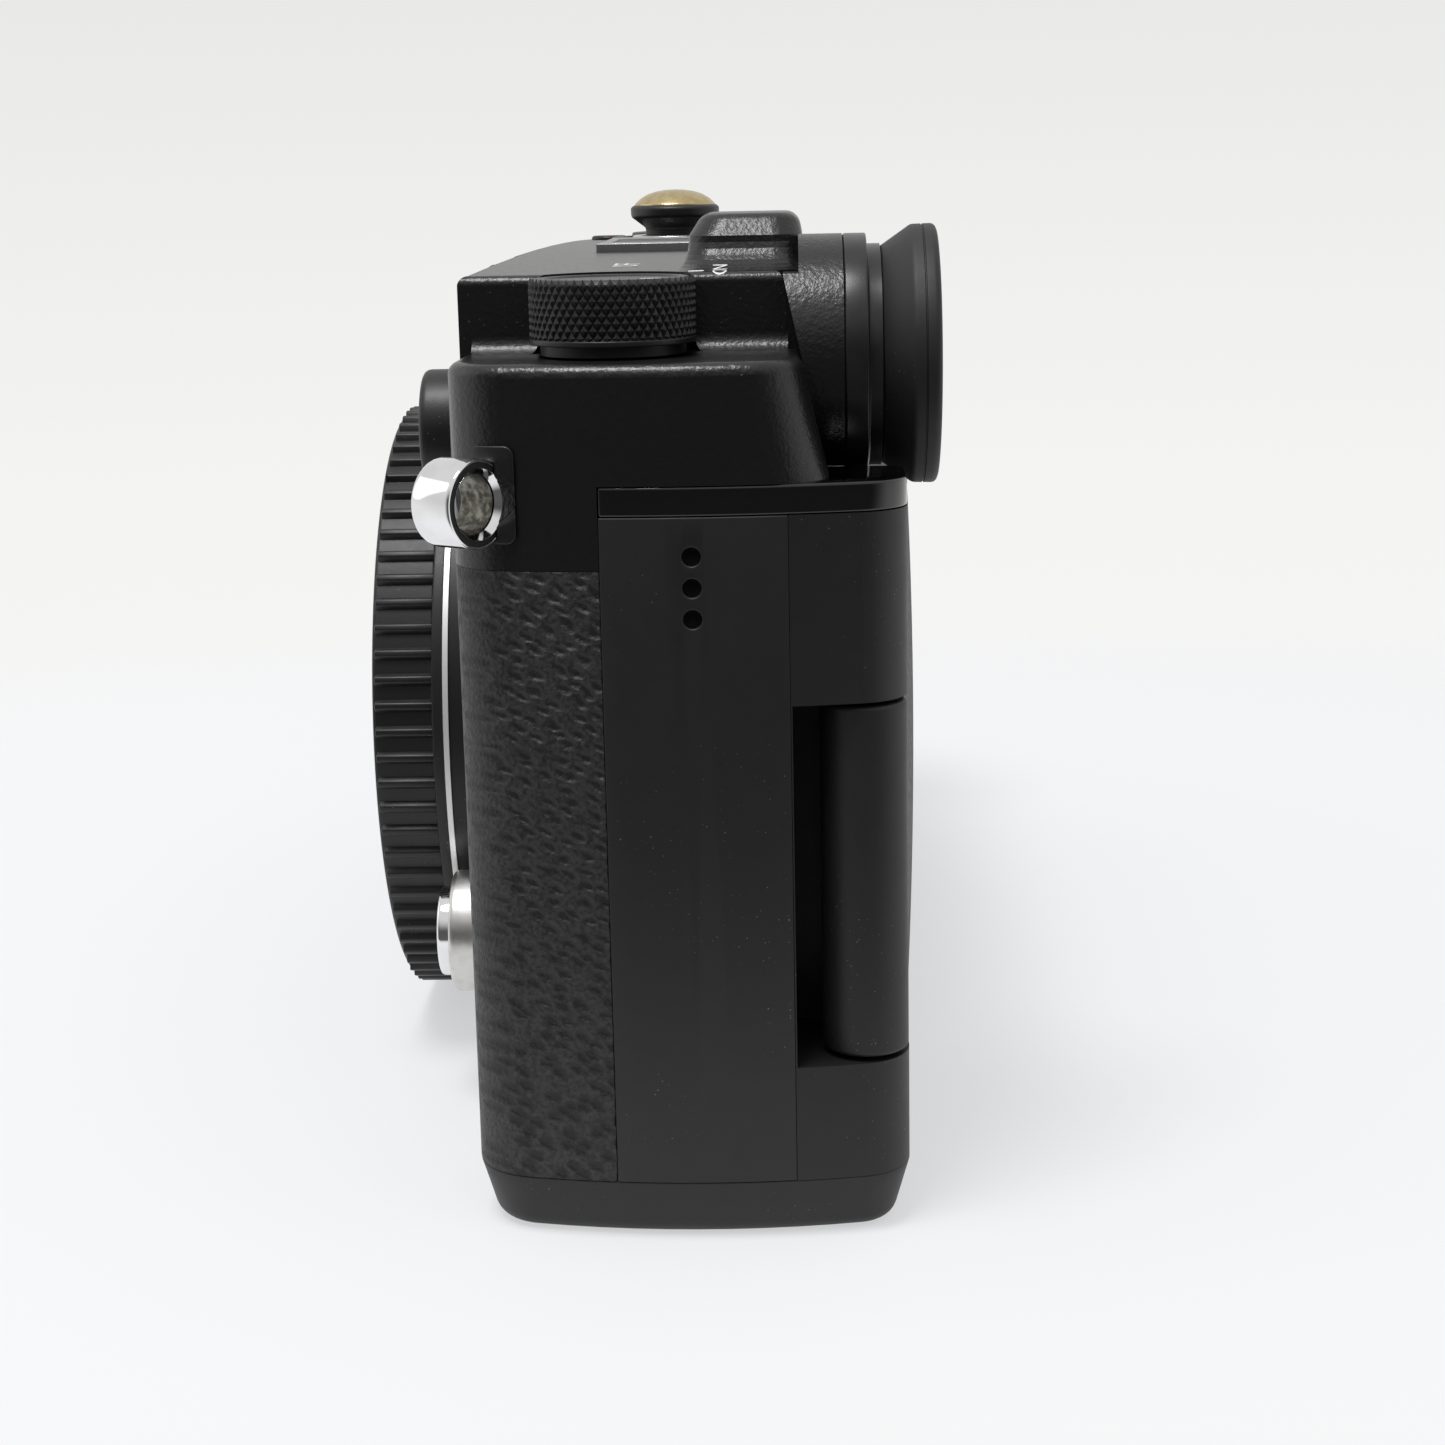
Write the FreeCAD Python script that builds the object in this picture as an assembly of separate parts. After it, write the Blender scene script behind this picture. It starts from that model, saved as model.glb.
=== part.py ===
import FreeCAD, Part
import math
import os

# Mirrorless camera body with its body cap on.
# Millimetres. +Z is up and z = 0 is the plane that the camera stands on.
# The lens side faces -Y, the monitor side faces +Y, and +X is the finder end.
# The origin is the mouth of the tripod socket, under the optical axis.

V = FreeCAD.Vector
UP = V(0, 0, 1)
REARWARD = V(0, 1, 0)

# Body outline seen from above
FINDER_END = 60.9
GRIP_END = -64.0
FRONT = -15.0
REAR = 16.6
END_BOW = 60.0
END_BOW_Y = 1.6
FRONT_CORNER = 5.0
REAR_CORNER = 4.0

# Levels
BASE_TOP = 4.5
SKIN_TOP = 48.75
STRIP_BOTTOM = 52.4
STRIP_TOP = 54.5
SHOULDER_TOP = 62.7
PLATE_TOP = 68.1
PLATE_CROWN = 0.5
PLATE_CROWN_SPAN = 54.0

# Walls, skins and clearances
WALL = 1.4
SKIN = 0.6
SEAM = 0.05
RUNNING = 0.05
BUTTON_GAP = 0.12

# Base plate
BASE_FLOOR = 2.4
BASE_TAPER = 1.3
BASE_ROUND = 1.6

# Top cover
COVER_REAR_TOP = 8.2
COVER_REAR_LOW = 11.2
COVER_REAR_CORNER = 4.5
SHOULDER_WALL_X = 48.5
PLATE_ROUND = 0.7
SHOULDER_ROUND = 0.9
STEP_FILLET = 1.2
CAVITY_TOP = 61.2
SHOE_CAVITY_TOP = 64.4
SHOE_CAVITY_RIGHT = -11.0
SHOE_CAVITY_LEFT = 26.0

# Finder hump and barrel
HUMP_LEFT = 44.6
HUMP_RIGHT = 31.5
HUMP_FRONT = 1.35
HUMP_REAR = 9.6
HUMP_TOP = 72.15
HUMP_CORNER = 2.1
HUMP_SIDE_FLARE = 3.2
HUMP_FRONT_FLARE = 1.0
HUMP_REAR_FLARE = 0.15
HUMP_FLARE_RISE = 2.4
HUMP_FLARE_FOOT = 68.2
HUMP_FLARE_STEPS = 8
HUMP_LEAN = 0.3
HUMP_SIDE_LEAN = 1.3
HUMP_FRONT_LEAN = 1.0
HUMP_ROUND = 1.2
HUMP_FOOT = 61.0
FINDER_X = 46.0
FINDER_Z = 62.0
HOUSING_RADIUS = 8.65
HOUSING_REAR = 12.4
FINDER_BORE = 6.6
FINDER_BORE_FRONT = 10.4
BARREL_RING_REAR = 14.1
BARREL_NECK_RADIUS = 7.9
BARREL_REAR = 15.1
BARREL_BORE = 5.9
BARREL_LIP = 5.2
EYECUP_FOOT_RADIUS = 7.7
EYECUP_RADIUS = 9.25
EYECUP_EDGE_Y = 16.95
EYECUP_REAR = 19.15
EYECUP_WINDOW = 5.4
EYECUP_DISH_RADIUS = 7.6
EYECUP_DISH_DEPTH = 2.6
EYECUP_ROUND = 0.9
EYEPIECE_THICK = 1.6

# End panel, gloss strip and speaker holes on the finder end
PANEL_FRONT = -4.5
PANEL_REAR = 8.4
PANEL_THICK = 1.3
SPEAKER_Y = 1.8
SPEAKER_RADIUS = 0.65
SPEAKER_TOP = 49.7
SPEAKER_PITCH = 2.15
SPEAKER_COUNT = 3

# Lens mount
MOUNT_Z = 27.9
FLANGE_Y = -20.6
FLANGE_TO_SENSOR = 19.25
MOUNT_RING_MARGIN = 2.0
MOUNT_RING_THICK = 1.3
MOUNT_RING_PROUD = 0.45
MOUNT_BASE_SETBACK = 0.2
MOUNT_SEAT_SETBACK = 1.2
THROAT_RADIUS = 20.2
SPIGOT_RADIUS = 21.9
TAB_RADIUS = 18.9
TAB_THICK = 1.2
TAB_COUNT = 3
TAB_ANGLE = 58.0
MOUNT_SCREW_PITCH_RADIUS = 24.0
MOUNT_SCREW_HEAD = 1.5
MOUNT_SCREW_HEAD_DEPTH = 0.7
MOUNT_SCREW_SHANK = 0.8
MOUNT_SCREW_LENGTH = 4.0
MOUNT_SCREW_COUNT = 4

# Body cap
CAP_FRONT = -26.7
CAP_RIB_HEIGHT = 0.5
CAP_RIB_COUNT = 76
CAP_RIB_WIDTH = 0.8
CAP_RIB_REAR = -21.65
CAP_SKIRT_INSET = 0.6
CAP_FACE = 1.9
CAP_PLUG_RADIUS = 18.5
CAP_PLUG_WALL = 1.6
CAP_PLUG_REAR = -16.4
CAP_CLAW_RADIUS = 19.9
CAP_CLAW_ANGLE = 34.0
CAP_ROUND = 0.8

# Parts inside the body
CHASSIS_LEFT_MARGIN = 1.5
CHASSIS_RIGHT_MARGIN = 0.8
CHASSIS_REAR = -7.3
CHASSIS_TOP = 49.6
CHASSIS_BORE = 18.5
SHUTTER_HALF_WIDTH = 23.5
SHUTTER_HALF_HEIGHT = 19.5
SHUTTER_THICK = 2.9
SHUTTER_GATE_HALF_WIDTH = 10.4
SHUTTER_GATE_HALF_HEIGHT = 8.2
RELEASE_ROOM = 5.5
SENSOR_HALF_WIDTH = 8.65
SENSOR_HALF_HEIGHT = 6.5
SENSOR_GLASS = 1.2
SENSOR_PACKAGE_MARGIN = 4.0
SENSOR_CARRIER_MARGIN = 9.0
SENSOR_CARRIER_REAR = 2.0
BOARD_THICK = 1.6
BOARD_LEFT = 46.0
BOARD_BOTTOM = 8.0
BOARD_TOP = 50.0
CHIP_HEIGHT = 1.4
CHIPS = ((-8.0, 30.0, 14.0), (12.0, 34.0, 10.0), (12.0, 18.0, 8.0), (32.0, 26.0, 12.0))
BATTERY_RIGHT = -58.2
BATTERY_SHUTTER_GAP = 1.7
BATTERY_FRONT = -9.5
BATTERY_THICK = 15.4
BATTERY_HEIGHT = 51.5
CARD_WIDTH = 24.0
CARD_HEIGHT = 32.0
CARD_THICK = 2.1
CARD_RIGHT = -54.0
CARD_GAP = 0.5
CONTACT_WIDTH = 16.0
CONTACT_PINS = 9
CONTACT_PIN_RADIUS = 0.45
CONTACT_PIN_PROUD = 0.5
CONTACT_PIN_RISE = 3.6
CONTACT_HEIGHT = 4.6
CONTACT_SETBACK = 0.6

# Tripod socket
SOCKET_RADIUS = 5.6
SOCKET_TOP = 6.1
SOCKET_BORE = 2.6
SOCKET_DEPTH = 5.0

# Case screws in the base plate
CASE_SCREW_PLACES = ((52.0, -7.0), (52.0, 9.0), (22.0, -9.0), (-18.0, 10.0))
CASE_SCREW_HEAD = 1.6
CASE_SCREW_HEAD_DEPTH = 0.8
CASE_SCREW_SHANK = 0.8
CASE_SCREW_LENGTH = 3.6

# Hot shoe
SHOE_FRONT = -8.1
SHOE_REAR = 7.9
SHOE_SLOT_WIDTH = 18.6
SHOE_SLOT_HEIGHT = 2.0
SHOE_LIP_GAP = 12.5
SHOE_LIP_THICK = 0.8
SHOE_LIP_TOP = 69.3
SHOE_SHEET = 0.9
SHOE_COVER_PLAY = 0.1
SHOE_COVER_HANDLE = 1.2

# Strap lugs on the front corners
LUG_CENTRE_X = 59.97
LUG_CENTRE_Y = -13.86
LUG_RISE = 4.75
LUG_RADIUS = 3.1
LUG_BORE = 2.0
LUG_LENGTH = 3.6
LUG_HEADING = 55.0
LUG_RELIEF = 0.3
LUG_PLATE_PROUD = 0.35
LUG_PLATE_INWARD = 0.9
LUG_PLATE_BACK = -10.1
LUG_PLATE_BELOW = 2.9
LUG_PLATE_ABOVE = 3.8
LUG_PLATE_CORNER = 0.7

# Lens release button and its collar
RELEASE_BEARING = -24.9
RELEASE_MOUNT_GAP = 0.56
COLLAR_RADIUS = 5.0
COLLAR_FACE = -19.9
RELEASE_RADIUS = 3.7
RELEASE_FACE = -21.0
RELEASE_REAR = -17.0
RELEASE_STEM = 1.4
RELEASE_TRAVEL = 1.5

# Flash sync socket and its screw cap
SYNC_X = 42.0
SYNC_RISE = 7.95
SYNC_FLANGE_RADIUS = 4.9
SYNC_FLANGE = 0.5
SYNC_TUBE_RADIUS = 3.4
SYNC_TUBE_BORE = 2.6
SYNC_TUBE_FACE = -17.3
SYNC_CAP_RADIUS = 4.5
SYNC_CAP_FACE = -18.6

# Power knob
KNOB_X = 52.0
KNOB_Y = -3.7
KNOB_RADIUS = 5.95
KNOB_TOP = 68.15
KNOB_NECK_RADIUS = 5.1
KNOB_NECK = 0.75
KNOB_POCKET_GAP = 0.6

# Dials in wells on the top plate
DIAL_WELL_GAP = 0.45
DIAL_WELL_FLOOR = 63.8
DIAL_SEAT_GAP = 0.15
DIAL_SHAFT = 1.6
DIAL_SHAFT_END = 60.4
MODE_X = -22.0
MODE_Y = 0.1
MODE_RADIUS = 7.3
MODE_TOP = 68.8
LOCK_RADIUS = 2.0
LOCK_PROUD = 0.25
LOCK_DEPTH = 2.2
LOCK_TRAVEL = 0.6
EV_X = -54.0
EV_Y = -2.6
EV_RADIUS = 7.0
EV_TOP = 68.85
SHUTTER_X = -38.4
SHUTTER_Y = -3.6
FRONT_DIAL_RADIUS = 7.1
FRONT_DIAL_BORE = 5.6
FRONT_DIAL_TOP = 68.75
SHUTTER_BOSS_BORE = 4.6
SHUTTER_BOSS_TOP = 67.6
SHUTTER_TOP = 68.9
SHUTTER_CAP = 2.0
SHUTTER_STEM = 1.5
SHUTTER_SOCKET = 1.3
SHUTTER_SOCKET_DEPTH = 3.0

# Soft release screwed into the shutter button
SOFT_NECK_RADIUS = 3.1
SOFT_NECK = 0.7
SOFT_RADIUS = 4.65
SOFT_RIM_LOW = 70.7
SOFT_RIM_HIGH = 71.7
SOFT_TOP = 73.5
SOFT_SCREW = 1.25
SOFT_SCREW_LENGTH = 2.6

# Movie button
MOVIE_X = -46.6
MOVIE_Y = -11.2
MOVIE_RADIUS = 1.9
MOVIE_TOP = 68.7
TOP_FLANGE = 0.6

# Rear dial and profile lever on the ledge behind the top cover
REAR_DIAL_X = -50.0
REAR_DIAL_Y = 11.3
REAR_DIAL_RADIUS = 5.6
REAR_DIAL_LOW = 56.2
REAR_DIAL_HIGH = 60.4
LEVER_RADIUS = 5.4
LEVER_LOW = 54.7
LEVER_THICK = 1.2
LEVER_TAB_REACH = 7.4
LEVER_TAB_WIDTH = 3.0
REAR_POCKET_RADIUS = 6.3
REAR_POCKET_TOP = 61.0
REAR_PIN_RADIUS = 1.5

# Creative dial and preview button on the front
CREATIVE_X = -40.0
CREATIVE_RISE = 8.45
CREATIVE_RADIUS = 7.4
CREATIVE_FACE = -20.8
CREATIVE_FOOT = 0.3
CREATIVE_SHAFT = 1.8
PREVIEW_X = -31.0
PREVIEW_Z = 14.5
PREVIEW_RADIUS = 2.8

# Round buttons
BUTTON_RADIUS = 2.3
BUTTON_PROUD = 0.7
BUTTON_FLANGE = 0.6
BUTTON_FLANGE_LIP = 0.7
BUTTON_REST_GAP = 0.1

# Rear face layout, each place as X and Z
FN_PLACE = (-30.0, 45.0)
MAGNIFY_PLACE = (-40.0, 45.0)
MENU_PLACE = (-29.5, 33.0)
INFO_PLACE = (-56.3, 31.0)
ERASE_PLACE = (-56.3, 11.5)
PLAY_PLACE = (-29.5, 11.5)
PAD_X = -43.0
PAD_Z = 23.0
PAD_RADIUS = 8.6
PAD_BORE = 3.7
PAD_PROUD = 1.1
PAD_ROCK_GAP = 0.45
PAD_FLANGE_GAP = 0.9
PAD_PIVOT_RADIUS = 0.45
PAD_PIVOT_REACH = 1.0
OK_RADIUS = 3.3
OK_PROUD = 1.3
OK_TRAVEL_ROOM = 0.95
VIEW_X = 27.0
VIEW_Z = 60.2

# Diopter dial beside the finder
DIOPTER_X = 33.6
DIOPTER_Z = 60.0
DIOPTER_RADIUS = 2.7
DIOPTER_GAP = 0.15
DIOPTER_WIDTH = 2.3
DIOPTER_SHAFT = 0.8

# Thumb rest
THUMB_LEFT = -46.5
THUMB_RIGHT = -60.5
THUMB_LOW = 35.5
THUMB_HIGH = 53.0
THUMB_PROUD = 3.6
THUMB_ROUND = 1.7

# Monitor, its arm and the hinge blocks
POCKET_RIGHT = -21.2
POCKET_FLOOR = 10.6
HINGE_X = 56.4
HINGE_Y = 13.45
HINGE_RADIUS = 3.1
BLOCK_LEFT = 50.4
BLOCK_ROUND = 1.5
BARREL_LOW = 13.3
BARREL_HIGH = 38.9
BARREL_SLOT_GAP = 0.3
RECESS_FLOOR = 8.5
HINGE_PIN = 1.4
HINGE_PIN_LENGTH = 5.0
ARM_RIGHT = 50.0
ARM_THICK = 5.2
ARM_ROUND = 0.8
MONITOR_LEFT = 49.6
MONITOR_RIGHT = -20.6
MONITOR_LOW = 5.4
MONITOR_HIGH = 51.9
MONITOR_FRONT = 11.0
MONITOR_CROWN_X = 0.0
MONITOR_CROWN_Y = 18.9
MONITOR_CROWN_RADIUS = 452.0
MONITOR_CORNER = 2.0
MONITOR_EDGE = 0.6
TILT_PIN = 1.5
TILT_PIN_LENGTH = 7.0
GLASS_MARGIN = 2.4
GLASS_THICK = 1.0

# Battery door and latch
DOOR_RIGHT = -58.9
DOOR_BATTERY_MARGIN = 0.7
DOOR_FRONT = -10.3
DOOR_REAR = 9.0
DOOR_LOW = 0.25
DOOR_THICK = 2.0
DOOR_GAP = 0.15
DOOR_PIN = 0.55
DOOR_PIN_LENGTH = 1.2
LATCH_LENGTH = 6.0
LATCH_WIDTH = 7.0
LATCH_THICK = 0.7
LATCH_SETBACK = 2.0
LATCH_TRAVEL = 2.2

# Port cover on the grip end
PORT_FRONT = -3.6
PORT_REAR = 7.4
PORT_LOW = 14.0
PORT_HIGH = 36.0
PORT_COVER_THICK = 1.2
PORT_COVER_GAP = 0.15
PORT_PIN = 0.35
PORT_PIN_LENGTH = 1.0
PORT_DEPTH = 4.0

MIDDLE_X = (FINDER_END + GRIP_END) / 2
HALF_WIDTH = (FINDER_END - GRIP_END) / 2
MOUNT_RING_RADIUS = MOUNT_SCREW_PITCH_RADIUS + MOUNT_SCREW_HEAD + MOUNT_RING_MARGIN
MOUNT_BASE_RADIUS = MOUNT_RING_RADIUS - MOUNT_BASE_SETBACK
CAP_SKIRT_RADIUS = MOUNT_RING_RADIUS - CAP_SKIRT_INSET
CAP_CORE_RADIUS = CAP_SKIRT_RADIUS - CAP_SKIRT_INSET
CAP_RADIUS = CAP_CORE_RADIUS + CAP_RIB_HEIGHT
RELEASE_DISTANCE = MOUNT_RING_RADIUS + RELEASE_MOUNT_GAP + COLLAR_RADIUS
RELEASE_X = RELEASE_DISTANCE * math.cos(math.radians(RELEASE_BEARING))
RELEASE_Z = MOUNT_Z + RELEASE_DISTANCE * math.sin(math.radians(RELEASE_BEARING))
CHASSIS_LEFT = SHUTTER_HALF_WIDTH + CHASSIS_LEFT_MARGIN
CHASSIS_RIGHT = -SHUTTER_HALF_WIDTH - CHASSIS_RIGHT_MARGIN
BATTERY_LEFT = -SHUTTER_HALF_WIDTH - BATTERY_SHUTTER_GAP
DOOR_LEFT = BATTERY_LEFT + DOOR_BATTERY_MARGIN
LUG_Z = SKIN_TOP + LUG_RISE
SYNC_Z = SKIN_TOP + SYNC_RISE
CREATIVE_Z = SKIN_TOP + CREATIVE_RISE
SENSOR_PLANE = FLANGE_Y + FLANGE_TO_SENSOR
INNER_FRONT = FRONT + SKIN + WALL
SHUTTER_FRONT = CHASSIS_REAR + 0.1
SHUTTER_REAR = SHUTTER_FRONT + SHUTTER_THICK
BARREL_SLOT_LOW = BARREL_LOW - BARREL_SLOT_GAP
BARREL_SLOT_HIGH = BARREL_HIGH + BARREL_SLOT_GAP
TILT_Z = (BARREL_LOW + BARREL_HIGH) / 2
DOOR_AXIS_X = DOOR_LEFT - DOOR_THICK / 2
DOOR_AXIS_Z = DOOR_LOW + DOOR_THICK / 2
FULL_TURN = 360.0
REACH = 200.0


# Basic solids

def box(x_low, x_high, y_low, y_high, z_low, z_high):
    """A box between two values on each axis."""
    return Part.makeBox(x_high - x_low, y_high - y_low, z_high - z_low, V(x_low, y_low, z_low))


def rod_x(y, z, radius, x_low, x_high):
    """A round rod along X."""
    return Part.makeCylinder(radius, x_high - x_low, V(x_low, y, z), V(1, 0, 0))


def rod_y(x, z, radius, y_low, y_high):
    """A round rod along Y."""
    return Part.makeCylinder(radius, y_high - y_low, V(x, y_low, z), REARWARD)


def rod_z(x, y, radius, z_low, z_high):
    """A round rod along Z."""
    return Part.makeCylinder(radius, z_high - z_low, V(x, y, z_low), UP)


def turned_y(x, z, profile):
    """A turned piece about a line along Y, from (radius, y) points."""
    points = [V(x + radius, y, z) for radius, y in profile]
    face = Part.Face(Part.makePolygon(points + points[:1]))
    return face.revolve(V(x, 0, z), REARWARD, FULL_TURN)


def turned_z(x, y, profile):
    """A turned piece about a line along Z, from (radius, z) points."""
    points = [V(x + radius, y, z) for radius, z in profile]
    face = Part.Face(Part.makePolygon(points + points[:1]))
    return face.revolve(V(x, y, 0), UP, FULL_TURN)


def round_edges(shape, radius, chosen):
    """Fillets the edges that the test picks."""
    edges = [edge for edge in shape.Edges if chosen(edge.BoundBox)]
    return shape.makeFillet(radius, edges)


def mirrored(shape):
    """The same piece at the other end of the body."""
    return shape.mirror(V(MIDDLE_X, 0, 0), V(1, 0, 0))


# Body outline

def outline(z, inset=0.0, rear=REAR, rear_corner=REAR_CORNER):
    """The closed plan outline at height z: two straight sides, two bowed ends, four round corners."""
    bow_centre = V(HALF_WIDTH - END_BOW, END_BOW_Y, 0)

    def corner(side_y, radius, inward):
        centre_y = side_y + inward * radius
        reach = math.sqrt((END_BOW - radius) ** 2 - (centre_y - END_BOW_Y) ** 2)
        centre = V(bow_centre.x + reach, centre_y, 0)
        along = V(centre.x - bow_centre.x, centre.y - bow_centre.y, 0).normalize()
        square = V(0, -inward, 0)
        halfway = (along + square).normalize()
        small = radius - inset
        return centre + square * small, centre + halfway * small, centre + along * small

    front_side, front_mid, front_end = corner(FRONT, FRONT_CORNER, 1)
    rear_side, rear_mid, rear_end = corner(rear, rear_corner, -1)
    bow_mid = V(HALF_WIDTH - inset, END_BOW_Y, 0)

    def place(point, side):
        return V(MIDDLE_X + side * point.x, point.y, z)

    edges = [Part.makeLine(place(front_side, -1), place(front_side, 1))]
    for start, middle, end in ((front_side, front_mid, front_end), (front_end, bow_mid, rear_end),
                               (rear_end, rear_mid, rear_side)):
        edges.append(Part.Arc(place(start, 1), place(middle, 1), place(end, 1)).toShape())
    edges.append(Part.makeLine(place(rear_side, 1), place(rear_side, -1)))
    for start, middle, end in ((rear_side, rear_mid, rear_end), (rear_end, bow_mid, front_end),
                               (front_end, front_mid, front_side)):
        edges.append(Part.Arc(place(start, -1), place(middle, -1), place(end, -1)).toShape())
    return Part.Wire(edges)


def slab(z_low, z_high, inset=0.0):
    """The body outline as a straight block."""
    return Part.Face(outline(z_low, inset)).extrude(V(0, 0, z_high - z_low))


def wall_band(z_low, z_high, outer_inset, thickness):
    """A band that follows the outline from one inset to another."""
    return slab(z_low, z_high, outer_inset).cut(slab(z_low, z_high, outer_inset + thickness))


def outline_x(y):
    """How far out the finder end lies at a given y, on its bowed stretch."""
    return MIDDLE_X + HALF_WIDTH - END_BOW + math.sqrt(END_BOW ** 2 - (y - END_BOW_Y) ** 2)


def cover_rear(z):
    """Where the leaning rear wall of the top cover lies at a given height."""
    lean = (COVER_REAR_LOW - COVER_REAR_TOP) / (PLATE_TOP - STRIP_TOP)
    return COVER_REAR_TOP + (PLATE_TOP - z) * lean


# Buttons that go through a wall

def button_y(x, z, radius, face, outward, proud):
    """A button along Y in a wall whose outer face is at y = face; outward is -1 or 1."""
    flange_near = face - outward * (WALL + BUTTON_REST_GAP)
    flange_far = flange_near - outward * BUTTON_FLANGE
    cap_end = face + outward * proud
    cap = rod_y(x, z, radius, min(flange_far, cap_end), max(flange_far, cap_end))
    flange = rod_y(x, z, radius + BUTTON_FLANGE_LIP, min(flange_near, flange_far),
                   max(flange_near, flange_far))
    rounded = round_edges(cap, min(0.35, radius / 3), lambda b: abs(b.YMin - cap_end) < 0.01
                          and abs(b.YMax - cap_end) < 0.01)
    return rounded.fuse(flange).removeSplitter()


# Outer shells

def base_plate():
    """Floor shell with tapered sides, the battery opening, the socket hole and screw seats."""
    outer = Part.makeLoft([outline(0, BASE_TAPER), outline(BASE_TOP)], True, True)
    outer = round_edges(outer, BASE_ROUND, lambda b: b.ZMax < 0.01)
    plate = outer.cut(slab(BASE_FLOOR, BASE_TOP + 1, BASE_TAPER + WALL))
    plate = plate.cut(box(DOOR_RIGHT - DOOR_GAP, DOOR_LEFT + DOOR_GAP, DOOR_FRONT - DOOR_GAP,
                          DOOR_REAR + DOOR_GAP, -1, BASE_TOP))
    plate = plate.cut(rod_y(DOOR_AXIS_X, DOOR_AXIS_Z, DOOR_PIN + RUNNING,
                            DOOR_FRONT - DOOR_PIN_LENGTH - DOOR_GAP,
                            DOOR_REAR + DOOR_PIN_LENGTH + DOOR_GAP))
    plate = plate.cut(rod_z(0, 0, SOCKET_RADIUS, -1, BASE_TOP))
    for x, y in CASE_SCREW_PLACES:
        plate = plate.cut(rod_z(x, y, CASE_SCREW_HEAD, -1, CASE_SCREW_HEAD_DEPTH + SEAM))
        plate = plate.cut(rod_z(x, y, CASE_SCREW_SHANK, -1, BASE_TOP))
    return plate


def front_cover():
    """Front shell between the base plate and the top cover, under the leather skin."""
    shell = wall_band(BASE_TOP, SKIN_TOP, SKIN, WALL)
    shell = shell.common(box(-REACH, REACH, -REACH, PANEL_FRONT, 0, REACH))
    for x, z, radius in front_holes():
        shell = shell.cut(rod_y(x, z, radius, FRONT - 1, INNER_FRONT + 1))
    return shell


def front_holes():
    """Holes that the skin, the front cover and the top cover share."""
    return ((0, MOUNT_Z, SPIGOT_RADIUS + SEAM),
            (RELEASE_X, RELEASE_Z, RELEASE_STEM + BUTTON_GAP),
            (PREVIEW_X, PREVIEW_Z, PREVIEW_RADIUS + BUTTON_GAP))


def grip_skins():
    """Leather skin wrapped round the front from one end panel to the other."""
    skin = wall_band(BASE_TOP, SKIN_TOP, 0, SKIN)
    skin = skin.common(box(-REACH, REACH, -REACH, PANEL_FRONT, 0, REACH))
    for x, z, radius in front_holes():
        skin = skin.cut(rod_y(x, z, radius, FRONT - 1, INNER_FRONT + 1))
    return skin


def hinge_block_space(z_low, z_high):
    """The rear corner block at the finder end, round towards the monitor."""
    block = box(BLOCK_LEFT, REACH, PANEL_REAR, REACH, z_low, z_high).common(slab(z_low, z_high))
    return round_edges(block, BLOCK_ROUND, lambda b: b.XMax < BLOCK_LEFT + 0.01 and b.YMin > REAR - 0.01)


def rear_cover():
    """Rear shell with the monitor pocket, the two hinge blocks, the ledge and the port opening."""
    shell = slab(BASE_TOP, STRIP_TOP).common(box(-REACH, REACH, PANEL_FRONT, REACH, 0, REACH))
    shell = shell.cut(box(POCKET_RIGHT, REACH, POCKET_FLOOR, REACH, 0, REACH))
    inner = slab(BASE_TOP - 1, STRIP_TOP - WALL, WALL)
    grip_room = inner.common(box(-REACH, POCKET_RIGHT - WALL, -REACH, REACH, 0, REACH))
    monitor_room = slab(BASE_TOP - 1, STRIP_TOP + 1, WALL).common(
        box(-REACH, BLOCK_LEFT, -REACH, POCKET_FLOOR - WALL, 0, REACH))
    block_room = slab(BASE_TOP - 1, STRIP_TOP + 1, WALL).common(
        box(BLOCK_LEFT - 1, REACH, -REACH, RECESS_FLOOR - WALL, 0, REACH))
    top_room = slab(STRIP_TOP - WALL - 1, STRIP_TOP + 1, WALL).common(
        box(-REACH, POCKET_RIGHT, -REACH, COVER_REAR_LOW - WALL, 0, REACH))
    for room in (grip_room, monitor_room, block_room, top_room):
        shell = shell.cut(room)
    for z_low, z_high in ((BASE_TOP, BARREL_SLOT_LOW), (BARREL_SLOT_HIGH, STRIP_BOTTOM)):
        block = hinge_block_space(z_low, z_high).cut(
            box(BLOCK_LEFT - 1, REACH, -REACH, RECESS_FLOOR, 0, REACH))
        shell = shell.fuse(block)
    shell = shell.cut(rod_z(HINGE_X, HINGE_Y, HINGE_PIN + RUNNING, BARREL_LOW - HINGE_PIN_LENGTH,
                            BARREL_HIGH + HINGE_PIN_LENGTH))
    shell = shell.cut(box(BLOCK_LEFT, REACH, RECESS_FLOOR, REACH, BARREL_SLOT_LOW, BARREL_SLOT_HIGH))
    shell = shell.cut(panel_space().fuse(strip_space()))
    shell = shell.cut(port_space())
    for (x, z), radius in rear_button_places():
        shell = shell.cut(rod_y(x, z, radius + BUTTON_GAP, POCKET_FLOOR, REAR + 1))
    shell = shell.cut(rod_z(REAR_DIAL_X, REAR_DIAL_Y, REAR_PIN_RADIUS + SEAM, STRIP_TOP - WALL - 1,
                            STRIP_TOP + 1))
    return shell.removeSplitter()


def rear_button_places():
    """Holes in the rear face: places and radii."""
    round_ones = (FN_PLACE, MAGNIFY_PLACE, MENU_PLACE, INFO_PLACE, ERASE_PLACE, PLAY_PLACE)
    holes = [(place, BUTTON_RADIUS) for place in round_ones]
    holes.append(((PAD_X, PAD_Z), PAD_RADIUS + PAD_ROCK_GAP))
    return holes


def panel_space():
    """Room of the end panel in the finder end."""
    band = wall_band(BASE_TOP, STRIP_BOTTOM, 0, PANEL_THICK)
    return band.common(box(0, REACH, PANEL_FRONT, PANEL_REAR, 0, REACH))


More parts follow.
